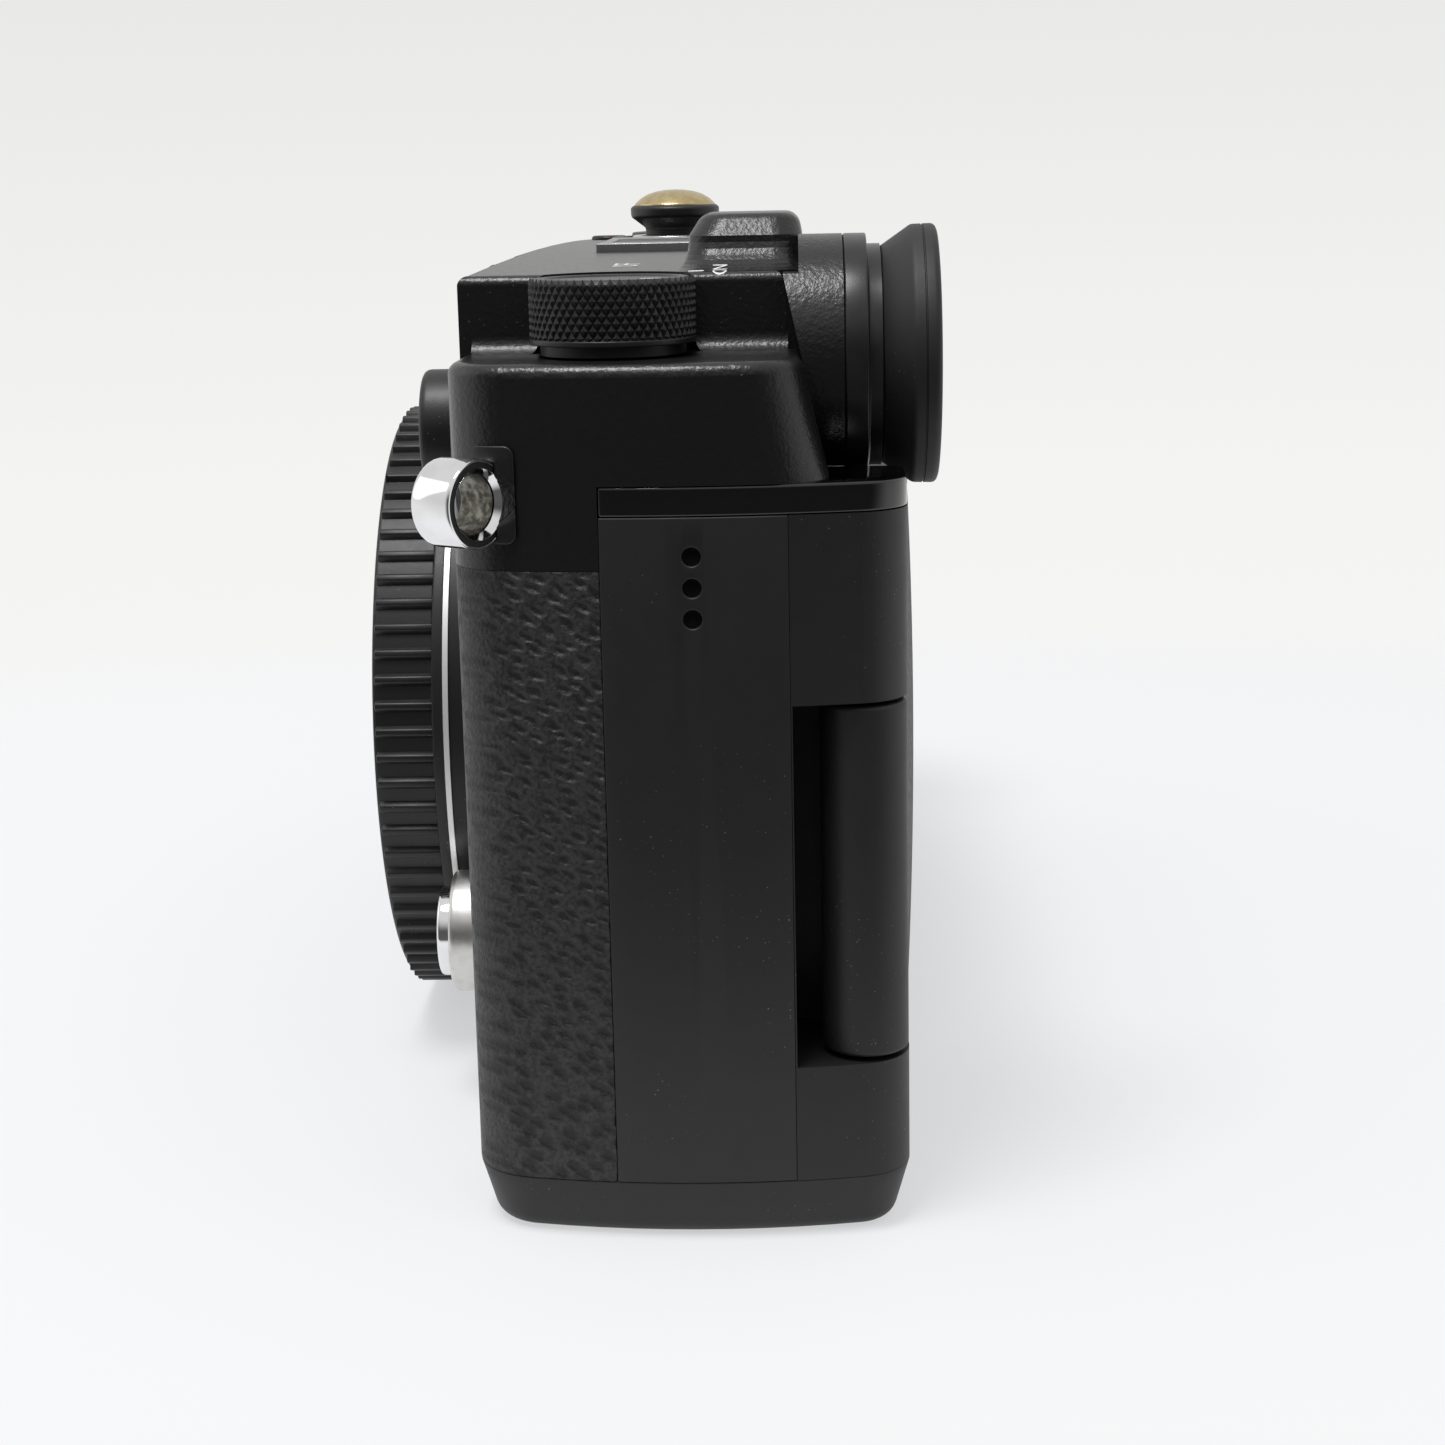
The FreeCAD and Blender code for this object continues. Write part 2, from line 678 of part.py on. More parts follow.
def strip_space():
    """Room of the gloss strip over the end panel and the upper hinge block."""
    band = wall_band(STRIP_BOTTOM, STRIP_TOP, 0, PANEL_THICK)
    band = band.common(box(0, REACH, PANEL_FRONT, PANEL_REAR + 1, 0, REACH))
    return band.fuse(hinge_block_space(STRIP_BOTTOM, STRIP_TOP)).removeSplitter()


def side_panel():
    """End panel with the speaker holes."""
    panel = panel_space()
    for row in range(SPEAKER_COUNT):
        z = SPEAKER_TOP - row * SPEAKER_PITCH
        panel = panel.cut(rod_x(SPEAKER_Y, z, SPEAKER_RADIUS, FINDER_END - 5, FINDER_END + 5))
    return panel


def top_cover():
    """Cast top cover: crowned plate, shoulder, leaning rear wall, finder hump and housing."""
    crown_radius = (PLATE_CROWN_SPAN ** 2 + PLATE_CROWN ** 2) / (2 * PLATE_CROWN)
    crown = rod_y(MIDDLE_X, PLATE_TOP + PLATE_CROWN - crown_radius, crown_radius, FRONT - 5, REAR + 5)
    upper = cover_block(PLATE_TOP + PLATE_CROWN + 1).common(crown)
    upper = upper.cut(box(SHOULDER_WALL_X, REACH, -REACH, REACH, 0, REACH))
    upper = round_edges(upper, PLATE_ROUND, lambda b: b.ZMin > PLATE_TOP - 1)
    shoulder = cover_block(SHOULDER_TOP)
    shoulder = round_edges(shoulder, SHOULDER_ROUND, lambda b: b.ZMin > SHOULDER_TOP - 0.01)
    cover = upper.fuse([shoulder, step_foot(), finder_hump(), finder_housing()])
    cover = cover.cut(box(-REACH, REACH, PANEL_FRONT, REACH, 0, STRIP_TOP))
    return hollow_top(cover)


def cover_block(z_high):
    """Solid outer form of the top cover up to a height."""
    return Part.makeLoft([outline(z, 0, cover_rear(z), COVER_REAR_CORNER) for z in (SKIN_TOP, z_high)],
                         True, True)


def step_foot():
    """Hollow fillet at the foot of the wall beside the power knob."""
    far = SHOULDER_WALL_X + STEP_FILLET
    high = SHOULDER_TOP + STEP_FILLET
    front = FRONT + SHOULDER_ROUND
    rear = cover_rear(SHOULDER_TOP) - SHOULDER_ROUND
    foot = box(SHOULDER_WALL_X - 0.5, far, front, rear, SHOULDER_TOP - 0.5, high)
    return foot.cut(rod_y(far, high, STEP_FILLET, front, rear))


def finder_housing():
    """Round housing of the finder where it leaves the leaning rear wall."""
    housing = rod_y(FINDER_X, FINDER_Z, HOUSING_RADIUS, COVER_REAR_TOP - 3, HOUSING_REAR)
    start = HUMP_LEFT - HUMP_LEAN
    top = HUMP_TOP + 1
    corners = [V(start, -REACH, 0), V(start, cover_rear(0), 0), V(start, cover_rear(PLATE_TOP), PLATE_TOP),
               V(start, HUMP_REAR - HUMP_LEAN, PLATE_TOP), V(start, HUMP_REAR - HUMP_LEAN, top),
               V(start, -REACH, top)]
    knob_side = Part.Face(Part.makePolygon(corners + corners[:1])).extrude(V(REACH, 0, 0))
    return housing.cut(knob_side)


def hump_section(z, side, ahead, behind):
    """Plan outline of the hump with round corners, moved out at its sides, its front and its rear."""
    right = HUMP_RIGHT - side
    left = HUMP_LEFT + side
    front = HUMP_FRONT - ahead
    rear = HUMP_REAR + behind
    diagonal = HUMP_CORNER * (1 - math.sqrt(0.5))
    edges = []
    for x, y, across, along in ((right, front, 1, 1), (left, front, -1, 1), (left, rear, -1, -1),
                                (right, rear, 1, -1)):
        beside = V(x + across * HUMP_CORNER, y, z)
        middle = V(x + across * diagonal, y + along * diagonal, z)
        above = V(x, y + along * HUMP_CORNER, z)
        ends = (above, beside) if across * along > 0 else (beside, above)
        if edges:
            edges.append(Part.makeLine(edges[-1].Vertexes[-1].Point, ends[0]))
        edges.append(Part.Arc(ends[0], middle, ends[1]).toShape())
    edges.append(Part.makeLine(edges[-1].Vertexes[-1].Point, edges[0].Vertexes[0].Point))
    return Part.Wire(edges)


def finder_hump():
    """Hump over the finder that flares softly into the top plate."""
    sections = []
    for step in range(HUMP_FLARE_STEPS + 1):
        angle = math.pi / 2 * step / HUMP_FLARE_STEPS
        spread = 1 - math.sin(angle)
        rise = HUMP_FLARE_RISE * (1 - math.cos(angle))
        sections.append(hump_section(HUMP_FLARE_FOOT + rise, HUMP_SIDE_FLARE * spread,
                                     HUMP_FRONT_FLARE * spread, HUMP_REAR_FLARE * spread))
    flare = Part.makeLoft(sections, True, True)
    low = HUMP_FLARE_FOOT + HUMP_FLARE_RISE
    top = hump_section(HUMP_TOP, -HUMP_SIDE_LEAN, -HUMP_FRONT_LEAN, -HUMP_LEAN)
    head = Part.makeLoft([hump_section(low, 0, 0, 0), top], True, True)
    head = round_edges(head, HUMP_ROUND, lambda b: b.ZMin > HUMP_TOP - 0.01)
    foot = Part.Face(sections[0]).extrude(V(0, 0, HUMP_FOOT - HUMP_FLARE_FOOT))
    return foot.fuse([flare, head])


def hollow_top(cover):
    """Cuts the cavity, the wells, the recesses and the holes of the top cover."""
    cavity = Part.makeLoft(
        [outline(z, WALL, cover_rear(z), COVER_REAR_CORNER) for z in (SKIN_TOP, CAVITY_TOP)], True, True)
    cavity = cavity.common(box(-REACH, REACH, -REACH, COVER_REAR_TOP, 0, REACH))
    cover = cover.cut(cavity)
    cover = cover.cut(box(SHOE_CAVITY_RIGHT, SHOE_CAVITY_LEFT, INNER_FRONT, COVER_REAR_TOP - WALL, SKIN_TOP,
                          SHOE_CAVITY_TOP))
    cover = cover.cut(rod_y(FINDER_X, FINDER_Z, FINDER_BORE, FINDER_BORE_FRONT, HOUSING_REAR + 1))
    for x, y, radius in ((MODE_X, MODE_Y, MODE_RADIUS), (EV_X, EV_Y, EV_RADIUS)):
        cover = cover.cut(rod_z(x, y, radius + DIAL_WELL_GAP, DIAL_WELL_FLOOR, REACH))
        cover = cover.cut(rod_z(x, y, DIAL_SHAFT + RUNNING, CAVITY_TOP - 1, REACH))
    ring_well = rod_z(SHUTTER_X, SHUTTER_Y, FRONT_DIAL_RADIUS + DIAL_WELL_GAP, DIAL_WELL_FLOOR, REACH)
    boss = rod_z(SHUTTER_X, SHUTTER_Y, FRONT_DIAL_BORE - RUNNING, DIAL_WELL_FLOOR, SHUTTER_BOSS_TOP)
    cover = cover.cut(ring_well).fuse(boss)
    cover = cover.cut(rod_z(SHUTTER_X, SHUTTER_Y, SHUTTER_BOSS_BORE, DIAL_WELL_FLOOR + 0.6, REACH))
    cover = cover.cut(rod_z(SHUTTER_X, SHUTTER_Y, SHUTTER_STEM + RUNNING, CAVITY_TOP - 1, REACH))
    cover = cover.cut(rod_z(MOVIE_X, MOVIE_Y, MOVIE_RADIUS + BUTTON_GAP, CAVITY_TOP - 1, REACH))
    cover = cover.cut(rod_z(KNOB_X, KNOB_Y, KNOB_RADIUS + KNOB_POCKET_GAP, SHOULDER_TOP, REACH))
    cover = cover.cut(rod_z(KNOB_X, KNOB_Y, DIAL_SHAFT + RUNNING, CAVITY_TOP - 1, REACH))
    cover = cover.cut(shoe_block())
    cover = cover.cut(rod_z(REAR_DIAL_X, REAR_DIAL_Y, REAR_POCKET_RADIUS, STRIP_TOP - 1, REAR_POCKET_TOP))
    cover = cover.cut(lug_space()).cut(mirrored(lug_space()))
    cover = cover.cut(rod_y(0, MOUNT_Z, SPIGOT_RADIUS + SEAM, FRONT - 1, INNER_FRONT))
    cover = cover.cut(rod_y(CREATIVE_X, CREATIVE_Z, CREATIVE_SHAFT + RUNNING, FRONT - 1, INNER_FRONT + 1))
    cover = cover.cut(rod_y(SYNC_X, SYNC_Z, SYNC_TUBE_BORE, FRONT - 1, INNER_FRONT + 1))
    cover = cover.cut(rod_y(VIEW_X, VIEW_Z, BUTTON_RADIUS + BUTTON_GAP, COVER_REAR_TOP - 3, REAR))
    cover = cover.cut(rod_y(DIOPTER_X, DIOPTER_Z, DIOPTER_SHAFT + RUNNING, COVER_REAR_TOP - 2, REAR))
    return cover.removeSplitter()


# Finder pieces

def finder_barrel():
    """Ring and neck behind the housing, with a seat for the eyepiece lens."""
    profile = ((BARREL_LIP, HOUSING_REAR), (HOUSING_RADIUS, HOUSING_REAR),
               (HOUSING_RADIUS, BARREL_RING_REAR), (BARREL_NECK_RADIUS, BARREL_RING_REAR),
               (BARREL_NECK_RADIUS, BARREL_REAR), (BARREL_BORE, BARREL_REAR),
               (BARREL_BORE, BARREL_REAR - EYEPIECE_THICK), (BARREL_LIP, BARREL_REAR - EYEPIECE_THICK))
    return turned_y(FINDER_X, FINDER_Z, profile)


def eyepiece_lens():
    """Lens disc held in the barrel's seat."""
    return rod_y(FINDER_X, FINDER_Z, BARREL_BORE, BARREL_REAR - EYEPIECE_THICK, BARREL_REAR)


def eyecup():
    """Rubber cup: a cone that opens to a rounded rim with a shallow dish."""
    dish = EYECUP_REAR - EYECUP_DISH_DEPTH
    profile = ((EYECUP_WINDOW, BARREL_REAR), (EYECUP_FOOT_RADIUS, BARREL_REAR),
               (EYECUP_RADIUS - 0.3, EYECUP_EDGE_Y), (EYECUP_RADIUS, EYECUP_EDGE_Y + 0.3),
               (EYECUP_RADIUS, EYECUP_REAR), (EYECUP_DISH_RADIUS, EYECUP_REAR),
               (EYECUP_WINDOW, dish))
    cup = turned_y(FINDER_X, FINDER_Z, profile)
    return round_edges(cup, EYECUP_ROUND, lambda b: b.YMin > EYECUP_REAR - 0.01
                       and b.XLength > 2 * EYECUP_RADIUS - 0.1)


# Lens mount

def sector(x, z, inner, outer, y_low, y_high, start, sweep):
    """A piece of a ring about a line along Y, from a start angle in degrees."""
    ring = rod_y(x, z, outer, y_low, y_high).cut(rod_y(x, z, inner, y_low, y_high))
    wedge_points = [V(x, y_low, z)]
    for step in range(5):
        angle = math.radians(start + sweep * step / 4)
        wedge_points.append(V(x + 2 * outer * math.cos(angle), y_low, z + 2 * outer * math.sin(angle)))
    wedge = Part.Face(Part.makePolygon(wedge_points + wedge_points[:1])).extrude(V(0, y_high - y_low, 0))
    return ring.common(wedge)


def mount_base():
    """Dark ring that carries the mount, with a spigot through the front cover."""
    seat = FLANGE_Y + MOUNT_RING_THICK
    rim = FLANGE_Y + MOUNT_RING_PROUD
    outer = rod_y(0, MOUNT_Z, MOUNT_BASE_RADIUS, rim, FRONT)
    outer = outer.cut(rod_y(0, MOUNT_Z, MOUNT_RING_RADIUS - MOUNT_SEAT_SETBACK, rim, seat))
    outer = outer.fuse(rod_y(0, MOUNT_Z, SPIGOT_RADIUS, FRONT, INNER_FRONT))
    base = outer.cut(rod_y(0, MOUNT_Z, THROAT_RADIUS, rim, INNER_FRONT))
    for x, z in mount_screw_places():
        base = base.cut(rod_y(x, z, MOUNT_SCREW_SHANK, FLANGE_Y, FLANGE_Y + MOUNT_SCREW_LENGTH + SEAM))
    return base.removeSplitter()


def mount_screw_places():
    """Places of the mount screws."""
    places = []
    for index in range(MOUNT_SCREW_COUNT):
        angle = math.radians(45 + FULL_TURN * index / MOUNT_SCREW_COUNT)
        places.append((MOUNT_SCREW_PITCH_RADIUS * math.cos(angle),
                       MOUNT_Z + MOUNT_SCREW_PITCH_RADIUS * math.sin(angle)))
    return places


def mount_ring():
    """Bright bayonet ring with three inward tabs and countersunk screw holes."""
    seat = FLANGE_Y + MOUNT_RING_THICK
    ring = rod_y(0, MOUNT_Z, MOUNT_RING_RADIUS, FLANGE_Y, FLANGE_Y + MOUNT_RING_PROUD)
    ring = ring.fuse(rod_y(0, MOUNT_Z, MOUNT_RING_RADIUS - MOUNT_SEAT_SETBACK, FLANGE_Y, seat))
    ring = ring.cut(rod_y(0, MOUNT_Z, THROAT_RADIUS, FLANGE_Y, seat))
    for index in range(TAB_COUNT):
        start = 90 + FULL_TURN * index / TAB_COUNT - TAB_ANGLE / 2
        ring = ring.fuse(sector(0, MOUNT_Z, TAB_RADIUS, THROAT_RADIUS + 0.2, FLANGE_Y,
                                FLANGE_Y + TAB_THICK, start, TAB_ANGLE))
    for x, z in mount_screw_places():
        ring = ring.cut(rod_y(x, z, MOUNT_SCREW_SHANK, FLANGE_Y, seat))
        ring = ring.cut(rod_y(x, z, MOUNT_SCREW_HEAD, FLANGE_Y, FLANGE_Y + MOUNT_SCREW_HEAD_DEPTH))
    return ring.removeSplitter()


def mount_screws():
    """Screws of the mount ring, heads flush with the flange."""
    screws = []
    for x, z in mount_screw_places():
        head = rod_y(x, z, MOUNT_SCREW_HEAD, FLANGE_Y, FLANGE_Y + MOUNT_SCREW_HEAD_DEPTH)
        shank = rod_y(x, z, MOUNT_SCREW_SHANK, FLANGE_Y, FLANGE_Y + MOUNT_SCREW_LENGTH)
        slot = box(x - MOUNT_SCREW_HEAD / 2, x + MOUNT_SCREW_HEAD / 2, FLANGE_Y - 1,
                   FLANGE_Y + MOUNT_SCREW_HEAD_DEPTH / 2, z - 0.2, z + 0.2)
        screws.append(head.fuse(shank).cut(slot).removeSplitter())
    return Part.makeCompound(screws)


def lens_contacts():
    """Contact block at the foot of the throat, with its row of pins."""
    low = MOUNT_Z - THROAT_RADIUS
    front = FRONT + CONTACT_SETBACK
    block = box(-CONTACT_WIDTH / 2, CONTACT_WIDTH / 2, front, INNER_FRONT, low, low + CONTACT_HEIGHT)
    block = block.common(rod_y(0, MOUNT_Z, THROAT_RADIUS, FRONT, INNER_FRONT))
    for index in range(CONTACT_PINS):
        x = CONTACT_WIDTH * ((index + 0.5) / CONTACT_PINS - 0.5)
        block = block.fuse(rod_y(x, low + CONTACT_PIN_RISE, CONTACT_PIN_RADIUS, front - CONTACT_PIN_PROUD,
                                 front + CONTACT_PIN_PROUD))
    return block.removeSplitter()


def body_cap():
    """Push-on cap: ribbed edge, smooth skirt, hollow plug with three claws."""
    face = rod_y(0, MOUNT_Z, CAP_CORE_RADIUS, CAP_FRONT, CAP_RIB_REAR)
    face = round_edges(face, CAP_ROUND, lambda b: b.YMax < CAP_FRONT + 0.01)
    skirt = rod_y(0, MOUNT_Z, CAP_SKIRT_RADIUS, CAP_RIB_REAR, FLANGE_Y - RUNNING)
    cap = face.fuse(skirt)
    rib = box(CAP_CORE_RADIUS - 0.4, CAP_RADIUS, CAP_FRONT + CAP_RIB_HEIGHT, CAP_RIB_REAR,
              MOUNT_Z - CAP_RIB_WIDTH / 2, MOUNT_Z + CAP_RIB_WIDTH / 2)
    ribs = []
    for index in range(CAP_RIB_COUNT):
        turned = rib.copy()
        turned.rotate(V(0, 0, MOUNT_Z), REARWARD, FULL_TURN * index / CAP_RIB_COUNT)
        ribs.append(turned)
    cap = cap.fuse(ribs)
    cap = cap.cut(rod_y(0, MOUNT_Z, CAP_SKIRT_RADIUS - 2, CAP_FRONT + CAP_FACE, FLANGE_Y))
    plug = rod_y(0, MOUNT_Z, CAP_PLUG_RADIUS, CAP_FRONT + CAP_FACE - 0.2, CAP_PLUG_REAR)
    cap = cap.fuse(plug)
    cap = cap.cut(rod_y(0, MOUNT_Z, CAP_PLUG_RADIUS - CAP_PLUG_WALL, CAP_FRONT + CAP_FACE, CAP_PLUG_REAR))
    claw_front = FLANGE_Y + TAB_THICK + 0.2
    for index in range(TAB_COUNT):
        middle = 90 + FULL_TURN * (index + 0.5) / TAB_COUNT
        cap = cap.fuse(sector(0, MOUNT_Z, CAP_PLUG_RADIUS - 0.4, CAP_CLAW_RADIUS, claw_front,
                              claw_front + TAB_THICK, middle - CAP_CLAW_ANGLE / 2, CAP_CLAW_ANGLE))
    return cap.removeSplitter()


# Inside the body

def chassis():
    """Die-cast frame behind the mount that carries the shutter."""
    frame = box(CHASSIS_RIGHT, CHASSIS_LEFT, INNER_FRONT, CHASSIS_REAR, SOCKET_TOP, CHASSIS_TOP)
    frame = frame.cut(rod_y(0, MOUNT_Z, CHASSIS_BORE, INNER_FRONT, CHASSIS_REAR))
    return frame.cut(rod_y(RELEASE_X, RELEASE_Z, RELEASE_STEM + RELEASE_ROOM, INNER_FRONT, CHASSIS_REAR))


def shutter_unit():
    """Focal-plane shutter frame with its gate."""
    frame = box(-SHUTTER_HALF_WIDTH, SHUTTER_HALF_WIDTH, SHUTTER_FRONT, SHUTTER_REAR,
                MOUNT_Z - SHUTTER_HALF_HEIGHT, MOUNT_Z + SHUTTER_HALF_HEIGHT)
    return frame.cut(box(-SHUTTER_GATE_HALF_WIDTH, SHUTTER_GATE_HALF_WIDTH, SHUTTER_FRONT, SHUTTER_REAR,
                         MOUNT_Z - SHUTTER_GATE_HALF_HEIGHT, MOUNT_Z + SHUTTER_GATE_HALF_HEIGHT))


def sensor_unit():
    """Image sensor package under its glass, on the stabiliser carrier."""
    def centred(margin, y_low, y_high):
        return box(-SENSOR_HALF_WIDTH - margin, SENSOR_HALF_WIDTH + margin, y_low, y_high,
                   MOUNT_Z - SENSOR_HALF_HEIGHT - margin, MOUNT_Z + SENSOR_HALF_HEIGHT + margin)
    glass = centred(1.0, SENSOR_PLANE - SENSOR_GLASS, SENSOR_PLANE)
    package = centred(SENSOR_PACKAGE_MARGIN, SENSOR_PLANE, 0)
    carrier = centred(SENSOR_CARRIER_MARGIN, 0, SENSOR_CARRIER_REAR)
    return glass.fuse([package, carrier]).removeSplitter()


def main_board():
    """Circuit board behind the sensor with its chips and the port sockets."""
    front = SENSOR_CARRIER_REAR
    rear = front + BOARD_THICK
    board = box(CHASSIS_RIGHT, BOARD_LEFT, front, rear, BOARD_BOTTOM, BOARD_TOP)
    for x, z, size in CHIPS:
        half = size / 2
        board = board.fuse(box(x - half, x + half, rear, rear + CHIP_HEIGHT, z - half, z + half))
    return board.removeSplitter()


def battery():
    """Slim battery pack standing on the door."""
    low = DOOR_LOW + DOOR_THICK + 0.4
    pack = box(BATTERY_RIGHT, BATTERY_LEFT, BATTERY_FRONT, BATTERY_FRONT + BATTERY_THICK, low,
               low + BATTERY_HEIGHT)
    return round_edges(pack, 1.2, lambda b: b.ZLength > BATTERY_HEIGHT - 0.01)


def memory_card():
    """Memory card standing behind the battery."""
    front = BATTERY_FRONT + BATTERY_THICK + CARD_GAP
    low = DOOR_LOW + DOOR_THICK + CARD_GAP
    return box(CARD_RIGHT, CARD_RIGHT + CARD_WIDTH, front, front + CARD_THICK, low, low + CARD_HEIGHT)


def tripod_socket():
    """Threaded bush flush with the base, closed at its top."""
    bush = rod_z(0, 0, SOCKET_RADIUS, 0, SOCKET_TOP)
    return bush.cut(rod_z(0, 0, SOCKET_BORE, 0, SOCKET_DEPTH))


def case_screws():
    """Screws in the base plate."""
    screws = []
    for x, y in CASE_SCREW_PLACES:
        head = rod_z(x, y, CASE_SCREW_HEAD, SEAM, CASE_SCREW_HEAD_DEPTH + SEAM)
        shank = rod_z(x, y, CASE_SCREW_SHANK, SEAM, CASE_SCREW_LENGTH)
        screws.append(head.fuse(shank).removeSplitter())
    return Part.makeCompound(screws)


# Fittings on the outside

def shoe_block():
    """Outside block of the hot shoe that the top cover is recessed for."""
    half = SHOE_SLOT_WIDTH / 2 + SHOE_SHEET
    low = SHOE_LIP_TOP - SHOE_LIP_THICK - SHOE_SLOT_HEIGHT - SHOE_SHEET
    return box(-half, half, SHOE_FRONT, REACH, low, REACH)


def hot_shoe():
    """Accessory shoe: floor, side walls, inward lips and a front stop."""
    half = SHOE_SLOT_WIDTH / 2 + SHOE_SHEET
    low = SHOE_LIP_TOP - SHOE_LIP_THICK - SHOE_SLOT_HEIGHT - SHOE_SHEET
    shoe = box(-half, half, SHOE_FRONT, SHOE_REAR, low, SHOE_LIP_TOP)
    slot_low = low + SHOE_SHEET
    shoe = shoe.cut(box(-SHOE_SLOT_WIDTH / 2, SHOE_SLOT_WIDTH / 2, SHOE_FRONT + SHOE_SHEET, REACH,
                        slot_low, slot_low + SHOE_SLOT_HEIGHT))
    return shoe.cut(box(-SHOE_LIP_GAP / 2, SHOE_LIP_GAP / 2, SHOE_FRONT + SHOE_SHEET, REACH,
                        slot_low, REACH))


def shoe_cover():
    """Plastic cover that slides into the shoe from the rear."""
    play = SHOE_COVER_PLAY
    slot_low = SHOE_LIP_TOP - SHOE_LIP_THICK - SHOE_SLOT_HEIGHT
    front = SHOE_FRONT + SHOE_SHEET + play
    tongue = box(-SHOE_SLOT_WIDTH / 2 + play, SHOE_SLOT_WIDTH / 2 - play, front, SHOE_REAR,
                 slot_low + play, slot_low + SHOE_SLOT_HEIGHT - play)
    rib = box(-SHOE_LIP_GAP / 2 + play, SHOE_LIP_GAP / 2 - play, front, SHOE_REAR,
              slot_low + play, SHOE_LIP_TOP - play)
    handle = box(-SHOE_LIP_GAP / 2 + play, SHOE_LIP_GAP / 2 - play, SHOE_REAR,
                 SHOE_REAR + SHOE_COVER_HANDLE, slot_low + play, SHOE_LIP_TOP - play)
    return tongue.fuse([rib, handle]).removeSplitter()


def lug_rod(radius, beyond=0.0):
    """Cylinder along the finder-end strap lug, as long as the lug plus a length beyond each end."""
    heading = math.radians(LUG_HEADING)
    along = V(math.cos(heading), math.sin(heading), 0)
    start = V(LUG_CENTRE_X, LUG_CENTRE_Y, LUG_Z) - along * (LUG_LENGTH / 2 + beyond)
    return Part.makeCylinder(radius, LUG_LENGTH + 2 * beyond, start, along)


def lug_space():
    """Room of the lug, with a wider way out at both ends of its bore for the strap."""
    return lug_rod(LUG_RADIUS).fuse(lug_rod(LUG_BORE + LUG_RELIEF, LUG_LENGTH))


def strap_lugs():
    """Chromed tube lugs on both front corners."""
    tube = lug_rod(LUG_RADIUS)
    tube = round_edges(tube, 0.35, lambda b: b.ZLength > 2 * LUG_RADIUS - 0.1
                       and b.XLength < 2 * LUG_RADIUS)
    tube = tube.cut(lug_rod(LUG_BORE))
    return Part.makeCompound([tube, mirrored(tube)])


def lug_plates():
    """Thin guard plates that carry the lugs."""
    plate = wall_band(LUG_Z - LUG_PLATE_BELOW, LUG_Z + LUG_PLATE_ABOVE, -LUG_PLATE_PROUD, LUG_PLATE_PROUD)
    window = box(LUG_CENTRE_X - LUG_PLATE_INWARD, REACH, -REACH, LUG_PLATE_BACK, LUG_Z - LUG_PLATE_BELOW,
                 LUG_Z + LUG_PLATE_ABOVE)
    window = round_edges(window, LUG_PLATE_CORNER, lambda b: b.XLength > 1 and b.YMin > LUG_PLATE_BACK - 0.01
                         and b.ZLength < 0.01)
    plate = plate.common(window)
    plate = plate.cut(lug_space())
    plate = max(plate.Solids, key=lambda piece: piece.Volume)
    return Part.makeCompound([plate, mirrored(plate)])


def release_collar():
    """Raised collar that guards the lens release button."""
    collar = rod_y(RELEASE_X, RELEASE_Z, COLLAR_RADIUS, COLLAR_FACE, FRONT)
    collar = round_edges(collar, 0.4, lambda b: b.YMax < COLLAR_FACE + 0.01)
    collar = collar.cut(rod_y(RELEASE_X, RELEASE_Z, RELEASE_RADIUS + RUNNING, COLLAR_FACE, FRONT - WALL / 2))
    return collar.cut(rod_y(RELEASE_X, RELEASE_Z, RELEASE_STEM + RUNNING, COLLAR_FACE, FRONT))


def release_button():
    """Polished lens release button with its stem."""
    cap = rod_y(RELEASE_X, RELEASE_Z, RELEASE_RADIUS, RELEASE_FACE, RELEASE_REAR - RELEASE_TRAVEL / 2)
    cap = round_edges(cap, 0.4, lambda b: b.YMax < RELEASE_FACE + 0.01)
    stem = rod_y(RELEASE_X, RELEASE_Z, RELEASE_STEM, RELEASE_REAR - 1, INNER_FRONT + 0.5)
    return cap.fuse(stem).removeSplitter()


def sync_socket():
    """Flash sync socket: flange and threaded tube."""
    flange = rod_y(SYNC_X, SYNC_Z, SYNC_FLANGE_RADIUS, FRONT - SYNC_FLANGE, FRONT)
    tube = rod_y(SYNC_X, SYNC_Z, SYNC_TUBE_RADIUS, SYNC_TUBE_FACE, FRONT)
    socket = flange.fuse(tube).cut(rod_y(SYNC_X, SYNC_Z, SYNC_TUBE_BORE, SYNC_TUBE_FACE, FRONT))
    return socket.removeSplitter()


def sync_cap():
    """Cap over the sync socket."""
    rear = FRONT - SYNC_FLANGE - RUNNING
    cap = rod_y(SYNC_X, SYNC_Z, SYNC_CAP_RADIUS, SYNC_CAP_FACE, rear)
    cap = round_edges(cap, 0.5, lambda b: b.YMax < SYNC_CAP_FACE + 0.01)
    return cap.cut(rod_y(SYNC_X, SYNC_Z, SYNC_TUBE_RADIUS + RUNNING, SYNC_TUBE_FACE - RUNNING, rear))


def thumb_rest():
    """Rubber thumb rest on the rear face."""
    rest = box(THUMB_RIGHT, THUMB_LEFT, REAR, REAR + THUMB_PROUD, THUMB_LOW, THUMB_HIGH)
    rest = round_edges(rest, 2 * THUMB_ROUND, lambda b: b.YLength > THUMB_PROUD - 0.01 and b.XLength < 0.01)
    return round_edges(rest, THUMB_ROUND, lambda b: b.YMin > REAR + THUMB_PROUD - 0.01)


# Controls on top

def dial_z(x, y, radius, low, high, shaft_end):
    """A round dial on a shaft along Z."""
    disc = rod_z(x, y, radius, low, high)
    disc = round_edges(disc, 0.35, lambda b: b.ZMin > high - 0.01)
    return disc.fuse(rod_z(x, y, DIAL_SHAFT, shaft_end, low + 1)).removeSplitter()


